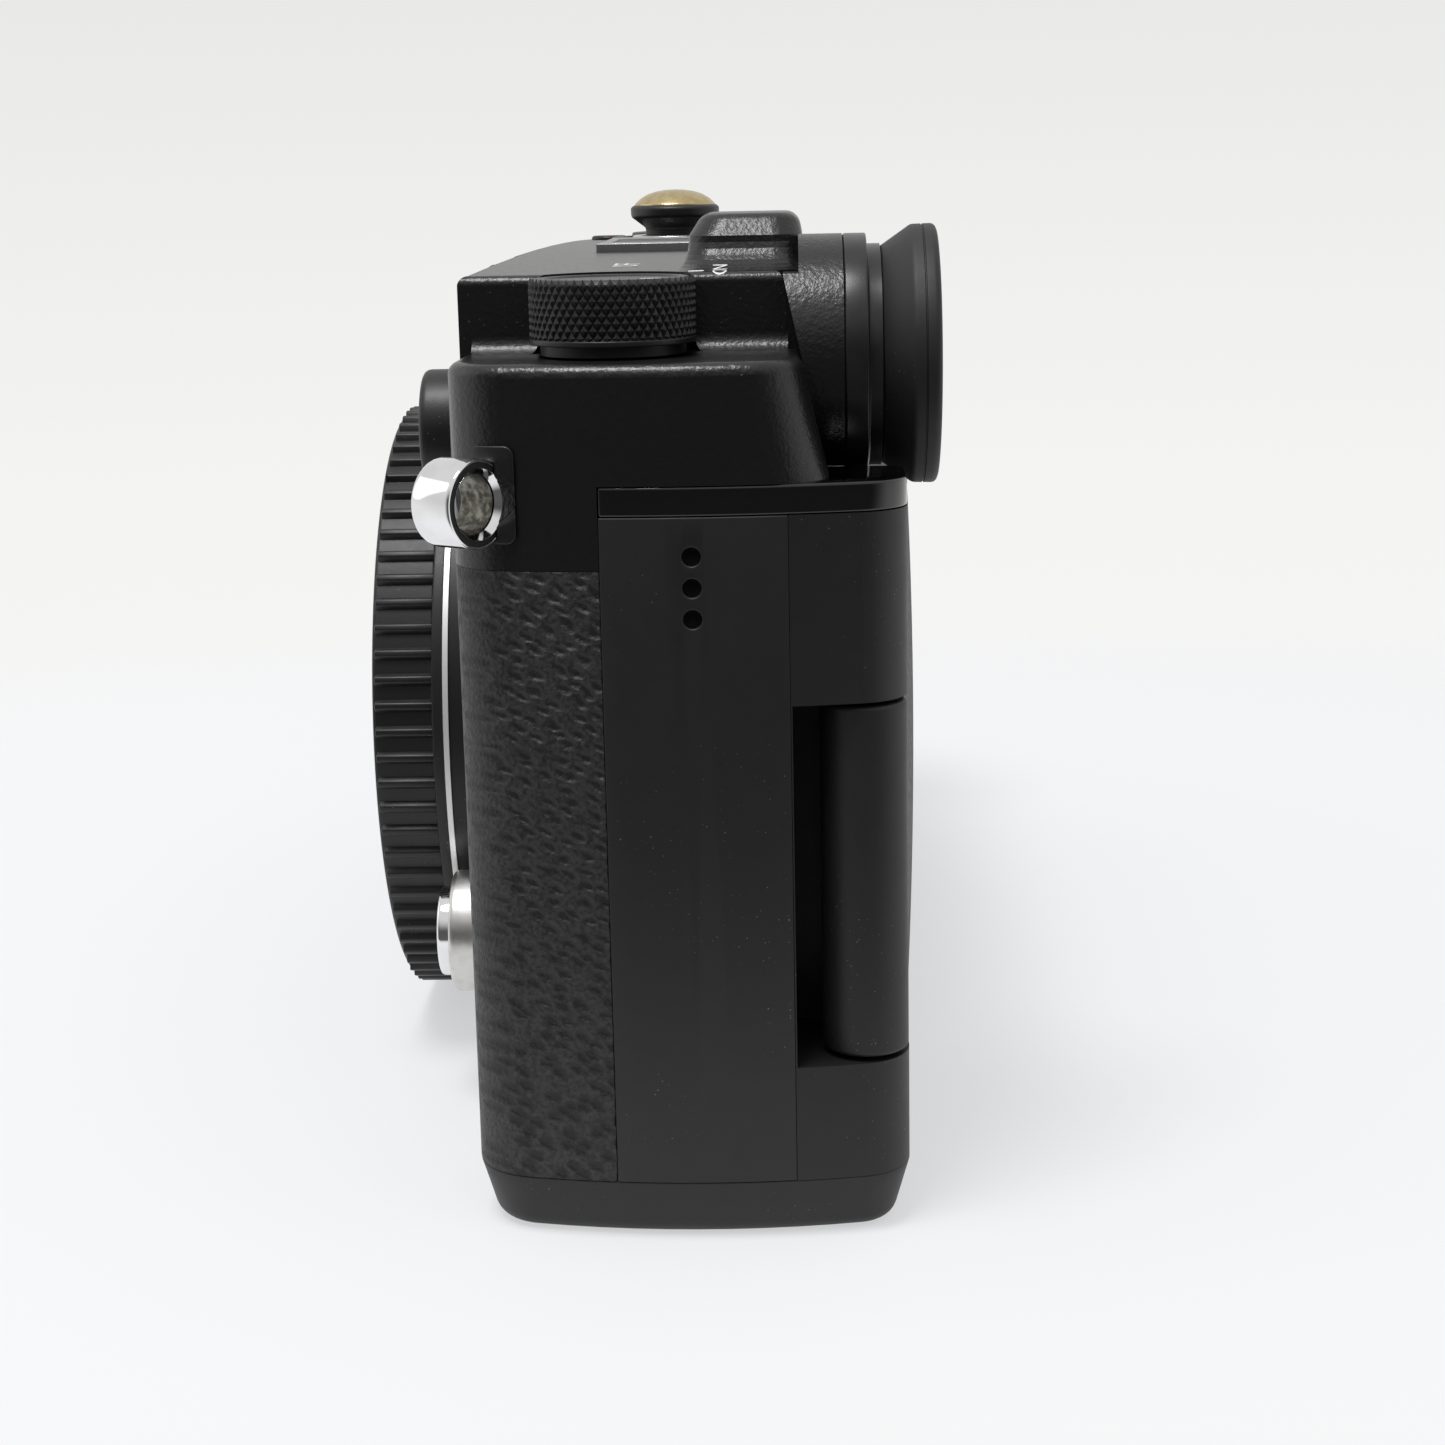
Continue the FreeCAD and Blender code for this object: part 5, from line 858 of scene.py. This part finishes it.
class CAMERA_OT_front(bpy.types.Operator):
    """Makes the fittings on the front: lens release, sync cap, dial and preview button"""

    bl_idname = "camera_model.front"
    bl_label = "Front fittings"

    def execute(self, context):
        place = lying(*RELEASE_AXIS)
        collar = lathe(((3.75, -19.9, 0.1), (5.0, -19.9, 0.45), (5.0, -15.0), (1.5, -15.0), (1.5, -15.7),
                        (3.75, -15.7)), place)
        piece("release_collar_ring", collar, "body", "satin_silver", "release_collar")
        button = lathe(((0, -20.94), (2.9, -20.97), (3.7, -21.0, 0.35), (3.7, -17.75, 0.1), (1.4, -17.75),
                        (1.4, -12.5), (0, -12.5)), place)
        piece("release_button_cap", button, "release_button", "bright_chrome", "release_button")
        paint("satin_silver", "sync_socket")
        cap = lathe(((0, -18.5), (1.2, -18.5), (1.5, -18.6, 0.1), (4.5, -18.6, 0.6), (4.5, -15.55, 0.2),
                     (3.45, -15.55), (3.45, -17.35), (0, -17.35)), lying(*SYNC_AXIS))
        piece("sync_cap_moulding", cap, "sync_cap", "plastic_black", "sync_cap")
        place = lying(*CREATIVE_AXIS)
        dial = lathe(((0, -20.5), (5.8, -20.5, 0.2), (6.1, -20.8, 0.15), (6.9, -20.8, 0.3),
                      (6.95, -15.3, 0.2), (1.8, -15.3), (1.8, -12.6), (0, -12.6)), place)
        flutes = grown("studs", "anodised_black", place, Around=context.scene.camera_sizes.dial_flutes,
                       Radius=6.9, Start=-18.0, Width=0.42, Length=4.6, Rise=0.46, Taper=0.55)
        piece("creative_dial_metal", joined(dial, flutes), "creative_dial", "anodised_black", "creative_dial")
        paint("plastic_black", "preview_button")
        return {"FINISHED"}


class CAMERA_OT_knob(bpy.types.Operator):
    """Makes the knurled power knob"""

    bl_idname = "camera_model.knob"
    bl_label = "Power knob"

    def execute(self, context):
        sizes = context.scene.camera_sizes
        place = upright(*KNOB_AXIS)
        drum = lathe(((0, 67.95), (4.6, 67.95, 0.1), (4.8, 68.1, 0.1), (5.35, 68.1, 0.1), (5.72, 67.78, 0.05),
                      (5.6, 67.7), (5.56, 64.2), (5.7, 64.05, 0.05), (5.85, 63.98, 0.08), (5.85, 63.6, 0.08),
                      (5.1, 63.6), (5.1, 62.85), (1.6, 62.85), (1.6, 60.4), (0, 60.4)), place)
        rows = sizes.knob_rows
        diamonds = grown("studs", "anodised_black", place, Around=sizes.knob_diamonds, Rows=rows,
                         Radius=5.66, Start=64.2, Pitch=3.5 / max(rows - 1, 1), Stagger=0.5, Width=0.43,
                         Length=0.68, Rise=0.17, Taper=0.3, Twist=0.0)
        piece("power_knob_metal", joined(drum, diamonds), "power_knob", "anodised_black", "power_knob")
        line = prism(oblong(0.5, 2.2, 0.1), PAINT, at(KNOB_AXIS[0], -0.6, 67.945))
        piece("power_knob_line", line, "power_knob", "mark_white")
        return {"FINISHED"}


class CAMERA_OT_dials(bpy.types.Operator):
    """Makes the dials on top and at the rear"""

    bl_idname = "camera_model.dials"
    bl_label = "Dials"

    def execute(self, context):
        flutes = context.scene.camera_sizes.dial_flutes
        for node, axis, radius, shaft, low, high, bore in (
                ("mode_dial", MODE_AXIS, 7.3, 60.4, 63.95, 68.8, 2.05),
                ("ev_dial", EV_AXIS, 7.0, 60.4, 63.95, 68.85, 0.0),
                ("rear_dial", REAR_DIAL_AXIS, 5.6, 53.1, 56.2, 60.4, 0.0)):
            place = upright(*axis)
            body = radius - 0.42
            if bore:
                centre = ((bore, high - 2.9), (bore, high - 0.12, 0.05))
            else:
                centre = ((0, high - 0.12),)
            disc = lathe((*centre, (body - 0.9, high - 0.12, 0.1), (body - 0.7, high, 0.1),
                          (body, high, 0.25), (body, low, 0.15), (1.55, low), (1.55, shaft), (0, shaft),
                          *(((0, high - 2.9),) if bore else ())), place)
            grip = grown("studs", "anodised_black", place, Around=flutes, Radius=body - 0.05,
                         Start=(low + high) / 2, Width=0.42, Length=high - low - 0.7, Rise=0.46, Taper=0.5)
            piece(node + "_metal", joined(disc, grip), node, "anodised_black", node)
        place = upright(*SHUTTER_AXIS)
        ring = lathe(((5.62, 63.95), (5.62, 68.75, 0.2), (6.7, 68.75, 0.3), (6.7, 63.95)), place)
        grip = grown("studs", "anodised_black", place, Around=flutes, Radius=6.65, Start=66.3, Width=0.42,
                     Length=4.0, Rise=0.44, Taper=0.5)
        piece("front_dial_metal", joined(ring, grip), "front_dial", "anodised_black", "front_dial")
        paint("anodised_dark", "mode_lock", "profile_lever")
        place = lying(*DIOPTER_AXIS)
        wheel = lathe(((0, 12.9), (2.3, 12.9, 0.2), (2.45, 10.8, 0.1), (0.8, 10.8), (0.8, 7.3), (0, 7.3)),
                      place, 48)
        teeth = grown("studs", "plastic_black", place, Around=24, Radius=2.4, Start=11.85, Width=0.32,
                      Length=1.9, Rise=0.28, Taper=0.5)
        piece("diopter_wheel", joined(wheel, teeth), "diopter_dial", "plastic_black", "diopter_dial")
        self.numbers("mode_dial", MODE_AXIS, 68.69, 1.7, 4.6,
                     [(TURN * index / 8, str(index + 1)) for index in range(8)])
        self.numbers("ev_dial", EV_AXIS, 68.74, 1.5, 4.3,
                     [(math.radians(36 * value), ("+" if value > 0 else "") + str(value))
                      for value in range(-3, 4)])
        return {"FINISHED"}

    def numbers(self, node, axis, top, size, reach, marks):
        """Numbers round a dial, from pairs of an angle and a text."""
        shapes = []
        for angle, text in marks:
            x = axis[0] + reach * math.sin(angle)
            y = axis[1] + reach * math.cos(angle)
            shapes.append(lettering(text, size, flat_at(x, y, top, -angle)))
        piece(node + "_numbers", joined(*shapes), node, "mark_white")


class CAMERA_OT_release(bpy.types.Operator):
    """Makes the shutter button and the soft release"""

    bl_idname = "camera_model.release"
    bl_label = "Shutter release"

    def execute(self, context):
        place = upright(*SHUTTER_AXIS)
        paint("satin_silver", "shutter_button")
        stem = lathe(((0, 66.3), (1.25, 66.3), (1.25, 68.9), (3.1, 68.9, 0.1), (3.1, 69.6, 0.2),
                      (4.6, 70.75, 0.25), (4.65, 71.7, 0.25), (4.2, 71.95, 0.1), (0, 71.95)), place)
        piece("soft_release_body", stem, "shutter", "plastic_black", "soft_release")
        dome = lathe(((4.22, 71.9), (4.2, 72.05, 0.1), (3.6, 72.6), (2.8, 73.05), (1.9, 73.32), (0.95, 73.46),
                      (0, 73.5), (0, 71.9)), place)
        piece("soft_release_dome", dome, "shutter", "brass_dome")
        paint("plastic_black", "movie_button")
        dot = lathe(((0, 68.7), (0, 68.72), (0.6, 68.72), (0.6, 68.7)), upright(*MOVIE_AXIS), 24)
        piece("movie_button_dot", dot, "movie_button", "mark_red")
        return {"FINISHED"}


class CAMERA_OT_top_marks(bpy.types.Operator):
    """Marks the top plate and dresses the hot shoe"""

    bl_idname = "camera_model.top_marks"
    bl_label = "Top plate"

    def execute(self, context):
        marks = [draped(mark, "top_cover") for mark in (
            lettering("OFF", 2.8, flat_at(36.6, -3.6, 0)), lettering("ON", 1.5, flat_at(47.2, 3.75, 0)),
            prism(oblong(0.6, 1.1, 0.1), PAINT, at(47.5, 2.0, 0)))]
        piece("top_marks", joined(*marks), "body", "mark_white")
        softened("hot_shoe", "body", "shoe_steel", 0.08)
        softened("shoe_cover", "shoe_cover", "plastic_black", 0.1)
        contacts = [lathe(((0, 66.5), (0.9, 66.5), (0.9, 66.56, 0.05), (0, 66.56)), upright(x, y), 24)
                    for x, y in ((0, -1.5), (-4.2, 3.2), (4.2, 3.2), (-4.2, -5.6), (4.2, -5.6))]
        piece("shoe_contacts", joined(*contacts), "body", "pin_gold")
        return {"FINISHED"}


class CAMERA_OT_rear(bpy.types.Operator):
    """Marks the buttons and the pad on the rear"""

    bl_idname = "camera_model.rear"
    bl_label = "Rear controls"

    def execute(self, context):
        paint("plastic_black", "fn_button", "magnify_button", "menu_button", "info_button", "erase_button",
              "play_button", "ok_button", "view_button")
        softened("arrow_pad", "arrow_pad", "anodised_dark", 0.1)
        arrow = ((-0.7, -0.35), (0.7, -0.35), (0, 0.55))
        arrows = []
        for index in range(4):
            angle = TURN * index / 4
            x = PAD_AXIS[0] + 6.2 * math.sin(angle)
            z = PAD_AXIS[1] + 6.2 * math.cos(angle)
            arrows.append(prism(arrow, PAINT, rear_at(x, 17.7, z, angle)))
        piece("pad_arrows", joined(*arrows), "arrow_pad", "mark_white")
        bar = oblong(1.6, 0.3, 0.05)
        for name, x, z, shapes in (
                ("play", -29.5, 11.5, (((-0.6, -0.8), (0.9, 0), (-0.6, 0.8)),)),
                ("menu", -29.5, 33.0, (bar, [(u, v + 0.6) for u, v in bar], [(u, v - 0.6) for u, v in bar])),
                ("magnify", -40.0, 45.0, (bar, oblong(0.3, 1.6, 0.05))),
                ("fn", -30.0, 45.0, (oblong(0.7, 0.7, 0.34),)),
                ("erase", -56.3, 11.5, (oblong(1.1, 1.3, 0.15), [(u, v + 1.0) for u, v in bar]))):
            marks = [prism(points, PAINT, rear_at(x, 17.3, z)) for points in shapes]
            piece(name + "_mark", joined(*marks), name + "_button", "mark_white")
        piece("info_mark", lettering("i", 2.0, rear_at(-56.3, 17.31, 31.0)), "info_button", "mark_white")
        piece("ok_mark", lettering("OK", 1.9, rear_at(PAD_AXIS[0], 17.91, PAD_AXIS[1])), "ok_button",
              "mark_white")
        softened("port_cover", "port_cover", "rubber_black", 0.15)
        return {"FINISHED"}


class CAMERA_OT_monitor(bpy.types.Operator):
    """Dresses the monitor, its arm and its leatherette back"""

    bl_idname = "camera_model.monitor"
    bl_label = "Monitor"

    def execute(self, context):
        softened("hinge_arm", "hinge_arm", "panel_charcoal", 0.1)
        softened("monitor_case", "monitor", "panel_charcoal", 0.1)
        paint("screen_glass", "monitor_glass")
        piece("monitor_skin", self.crowned_patch(2.6), "monitor", "leather_flat")
        return {"FINISHED"}

    def crowned_patch(self, margin, thick=0.12, steps=48):
        """A thin sheet with round corners on the crowned back."""
        low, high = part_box("monitor_case")
        middle = (low + high) / 2
        width = (high.x - low.x) / MM - 2 * margin
        height = (high.z - low.z) / MM - 2 * margin
        centre = Vector((0, BACK_TOP - BACK_CROWN, middle.z / MM))
        shape = bmesh.new()
        grid = []
        for row in range(steps + 1):
            line = []
            for column in range(steps + 1):
                u = width * (column / steps - 0.5)
                v = height * (row / steps - 0.5)
                over_u = abs(u) - (width / 2 - BACK_CORNER)
                over_v = abs(v) - (height / 2 - BACK_CORNER)
                if over_u > 0 and over_v > 0:
                    reach = math.hypot(over_u, over_v)
                    side = max(over_u, over_v)
                    u = math.copysign(width / 2 - BACK_CORNER + over_u * side / reach, u)
                    v = math.copysign(height / 2 - BACK_CORNER + over_v * side / reach, v)
                x = middle.x / MM + u
                z = middle.z / MM + v
                y = centre.y + math.sqrt(BACK_CROWN ** 2 - (x - centre.x) ** 2 - (z - centre.z) ** 2)
                line.append(shape.verts.new((x * MM, (y + thick) * MM, z * MM)))
            grid.append(line)
        for row in range(steps):
            for column in range(steps):
                shape.faces.new((grid[row][column], grid[row][column + 1], grid[row + 1][column + 1],
                                 grid[row + 1][column]))
        thickened(shape, (0, -2 * thick * MM, 0))
        return shape


class CAMERA_OT_base(bpy.types.Operator):
    """Dresses the base: screws, tripod socket, battery door and latch"""

    bl_idname = "camera_model.base"
    bl_label = "Base fittings"

    def execute(self, context):
        heads = []
        for x, y in ((52.0, -7.0), (52.0, 9.0), (22.0, -9.0), (-18.0, 10.0)):
            heads.append(grown("screws", "screw_steel", at(x, y, 0.78, 180, "X"), Count=1, Ring=0.0,
                               First=0.4, Radius=1.55, Height=0.7, Slot=0.36))
        piece("case_screw_heads", joined(*heads), "body", "screw_steel", "case_screws")
        bush = lathe(((3.0, 0.02, 0.2), (5.6, 0.02, 0.1), (5.6, 6.1), (0, 6.1), (0, 5.0), (2.85, 5.0),
                      (2.85, 0.25)), upright(0, 0))
        thread = grown("thread", "satin_silver", at(0, 0, 0.4), Radius=2.85, Turns=3.6, Length=4.2, Ridge=0.3)
        piece("tripod_bush", joined(bush, thread), "body", "satin_silver", "tripod_socket")
        softened("battery_door", "battery_door", "panel_charcoal", 0.1)
        softened("door_latch", "door_latch", "plastic_black", 0.08)
        return {"FINISHED"}


class CAMERA_OT_inside(bpy.types.Operator):
    """Paints the parts inside the body"""

    bl_idname = "camera_model.inside"
    bl_label = "Inside"

    def execute(self, context):
        paint("inner_plastic", "shutter_unit", "sensor_unit", "memory_card")
        paint("board_green", "main_board")
        paint("battery_grey", "battery")
        glass = prism(oblong(18.6, 14.2, 0.4), 0.06, at(0, -2.6, LENS_AXIS[1], 90, "X"))
        piece("sensor_glass", glass, "body", "lens_glass")
        pins = [lathe(((0, -14.95), (0.42, -14.95, 0.15), (0.42, -14.0), (0, -14.0)),
                      lying(16.0 * ((index + 0.5) / 9 - 0.5), 11.3), 20) for index in range(9)]
        piece("contact_pins", joined(*pins), "body", "pin_gold")
        return {"FINISHED"}


class CAMERA_OT_stage(bpy.types.Operator):
    """Sets the table, the lamps and the camera's viewpoint"""

    bl_idname = "camera_model.stage"
    bl_label = "Stage"

    def execute(self, context):
        settings = context.scene.camera_stage
        self.table(settings)
        self.world(context, settings)
        self.lamps(settings)
        self.viewpoint(context)
        context.scene.view_settings.view_transform = "Standard"
        return {"FINISHED"}

    def table(self, settings):
        """A pale table top that melts into the backdrop."""
        material = bpy.data.materials.new("table")
        material.use_nodes = True
        graph = Graph(material.node_tree)
        graph.tree.nodes.clear()
        mottling = graph.grain(60.0, 1.0) * 0.5 + 0.5
        tone = graph.blend(mottling, colour(tuple(value * 0.99 for value in settings.table)),
                           colour(tuple(settings.table)))
        top = graph.node("ShaderNodeBsdfDiffuse", {}, {"Color": tone})
        x, y, _ = graph.split(graph.place())
        aside = x + TABLE_SHIFT
        reach = (aside.math("POWER", 4.0) + y.math("POWER", 4.0)).math("POWER", 0.25)
        path = graph.tree.nodes.new("ShaderNodeLightPath")
        camera, glossy, through = (Wire(graph, path.outputs["Is " + kind + " Ray"])
                                   for kind in ("Camera", "Glossy", "Transmission"))
        seen = (camera + glossy + through).math("MINIMUM", 1.0)
        pale = graph.node("ShaderNodeEmission", {}, {"Color": colour(tuple(settings.table)),
                                                     "Strength": TABLE_GLOW})
        top = graph.node("ShaderNodeMixShader", {}, {0: seen * settings.paleness, 1: top, 2: pale})
        clear = graph.node("ShaderNodeBsdfTransparent")
        faded = graph.node("ShaderNodeMixShader", {}, {0: reach.between(*TABLE_FADE), 1: top, 2: clear})
        graph.node("ShaderNodeOutputMaterial", {}, {"Surface": faded})
        shape = bmesh.new()
        bmesh.ops.create_grid(shape, x_segments=8, y_segments=8, size=TABLE_SIZE)
        mesh = bpy.data.meshes.new("table")
        shape.to_mesh(mesh)
        shape.free()
        mesh.materials.append(material)
        table = linked("table", mesh)

    def world(self, context, settings):
        """Light from above, and a pale backdrop for what looks at it or mirrors it."""
        world = bpy.data.worlds.new("Room")
        world.use_nodes = True
        graph = Graph(world.node_tree)
        graph.tree.nodes.clear()
        way = graph.node("ShaderNodeTexCoord", output="Generated")
        x, _, z = graph.split(way)
        path = graph.tree.nodes.new("ShaderNodeLightPath")
        mirrored = Wire(graph, path.outputs["Is Glossy Ray"])
        seen = Wire(graph, path.outputs["Is Camera Ray"]) + Wire(graph, path.outputs["Is Transmission Ray"])
        ceiling = z.between(0.05, 0.85)
        room = graph.node("ShaderNodeBackground", {}, {
            "Color": (1.0, 1.0, 1.0, 1.0), "Strength": (0.15 + ceiling * 0.95) * settings.daylight})
        dim = x.between(0.1, 0.75) * (1.0 - z.between(0.2, 0.75)) * mirrored * MIRROR_DIMMING
        paler = colour(tuple(settings.backdrop))
        deeper = colour(tuple(value * BACKDROP_SHADE for value in settings.backdrop))
        tone = graph.blend(z.between(-0.2, 0.25), paler, deeper)
        backdrop = graph.node("ShaderNodeBackground", {}, {"Color": tone, "Strength": 1.0 - dim})
        shown = (seen + mirrored).math("MINIMUM", 1.0)
        mixed = graph.node("ShaderNodeMixShader", {}, {0: shown, 1: room, 2: backdrop})
        graph.node("ShaderNodeOutputWorld", {}, {"Surface": mixed})
        context.scene.world = world

    def lamps(self, settings):
        """A soft box above and a weaker one at the side."""
        for name, place, size, power in (
                ("overhead", (0.20, -0.12, 0.70), 0.22, settings.overhead),
                ("side", (-0.1, -0.9, 0.45), 0.6, settings.overhead * SIDE_LAMP_SHARE)):
            lamp = bpy.data.lights.new(name, "AREA")
            lamp.energy = power
            lamp.size = size
            holder = linked(name, lamp)
            holder.location = place
            aim = Vector((0, 0, 0.03)) - Vector(place)
            holder.rotation_euler = aim.to_track_quat("-Z", "Y").to_euler()

    def viewpoint(self, context):
        """The photograph's viewpoint, which looks at the finder end from above."""
        eye = Vector(EYE) * MM
        yaw, pitch, roll = (math.radians(angle) for angle in YAW_PITCH_ROLL)
        level = Vector((-math.cos(yaw), -math.sin(yaw), 0))
        right = level.cross(Vector((0, 0, 1))).normalized()
        ahead = level * math.cos(pitch) + Vector((0, 0, -math.sin(pitch)))
        over = right.cross(ahead)
        tilted = right * math.cos(roll) + over * math.sin(roll)
        upward = over * math.cos(roll) - right * math.sin(roll)
        data = bpy.data.cameras.new("viewpoint")
        data.sensor_width = SENSOR_WIDTH
        data.lens = FOCAL_PIXELS / PICTURE_PIXELS * SENSOR_WIDTH
        data.clip_start = 0.01
        holder = linked("viewpoint", data)
        rotation = Matrix((tilted, upward, -ahead)).transposed()
        holder.matrix_world = Matrix.Translation(eye) @ rotation.to_4x4()
        context.scene.camera = holder


OPERATORS = (CAMERA_OT_finishes, CAMERA_OT_shells, CAMERA_OT_finder, CAMERA_OT_mount, CAMERA_OT_lugs,
             CAMERA_OT_front, CAMERA_OT_knob, CAMERA_OT_dials, CAMERA_OT_release, CAMERA_OT_top_marks,
             CAMERA_OT_rear, CAMERA_OT_monitor, CAMERA_OT_base, CAMERA_OT_inside, CAMERA_OT_stage)


class CAMERA_PT_panel(bpy.types.Panel):
    """Lists the camera's pieces in the sidebar"""

    bl_idname = "CAMERA_PT_panel"
    bl_label = "Mirrorless camera"
    bl_space_type = "VIEW_3D"
    bl_region_type = "UI"
    bl_category = "Camera"

    def draw(self, context):
        for group in (context.scene.camera_sizes, context.scene.camera_stage):
            box = self.layout.box()
            for name in group.__annotations__:
                box.prop(group, name)
        for operator in OPERATORS:
            self.layout.operator(operator.bl_idname)


CLASSES = (CameraSizes, StageSettings, *OPERATORS, CAMERA_PT_panel)


def register():
    for item in CLASSES:
        bpy.utils.register_class(item)
    bpy.types.Scene.camera_sizes = PointerProperty(type=CameraSizes)
    bpy.types.Scene.camera_stage = PointerProperty(type=StageSettings)


def unregister():
    del bpy.types.Scene.camera_stage
    del bpy.types.Scene.camera_sizes
    for item in reversed(CLASSES):
        bpy.utils.unregister_class(item)


def main():
    """Makes every piece in order."""
    register()
    for operator in OPERATORS:
        group, name = operator.bl_idname.split(".")
        getattr(getattr(bpy.ops, group), name)()


if __name__ == "__main__":
    main()
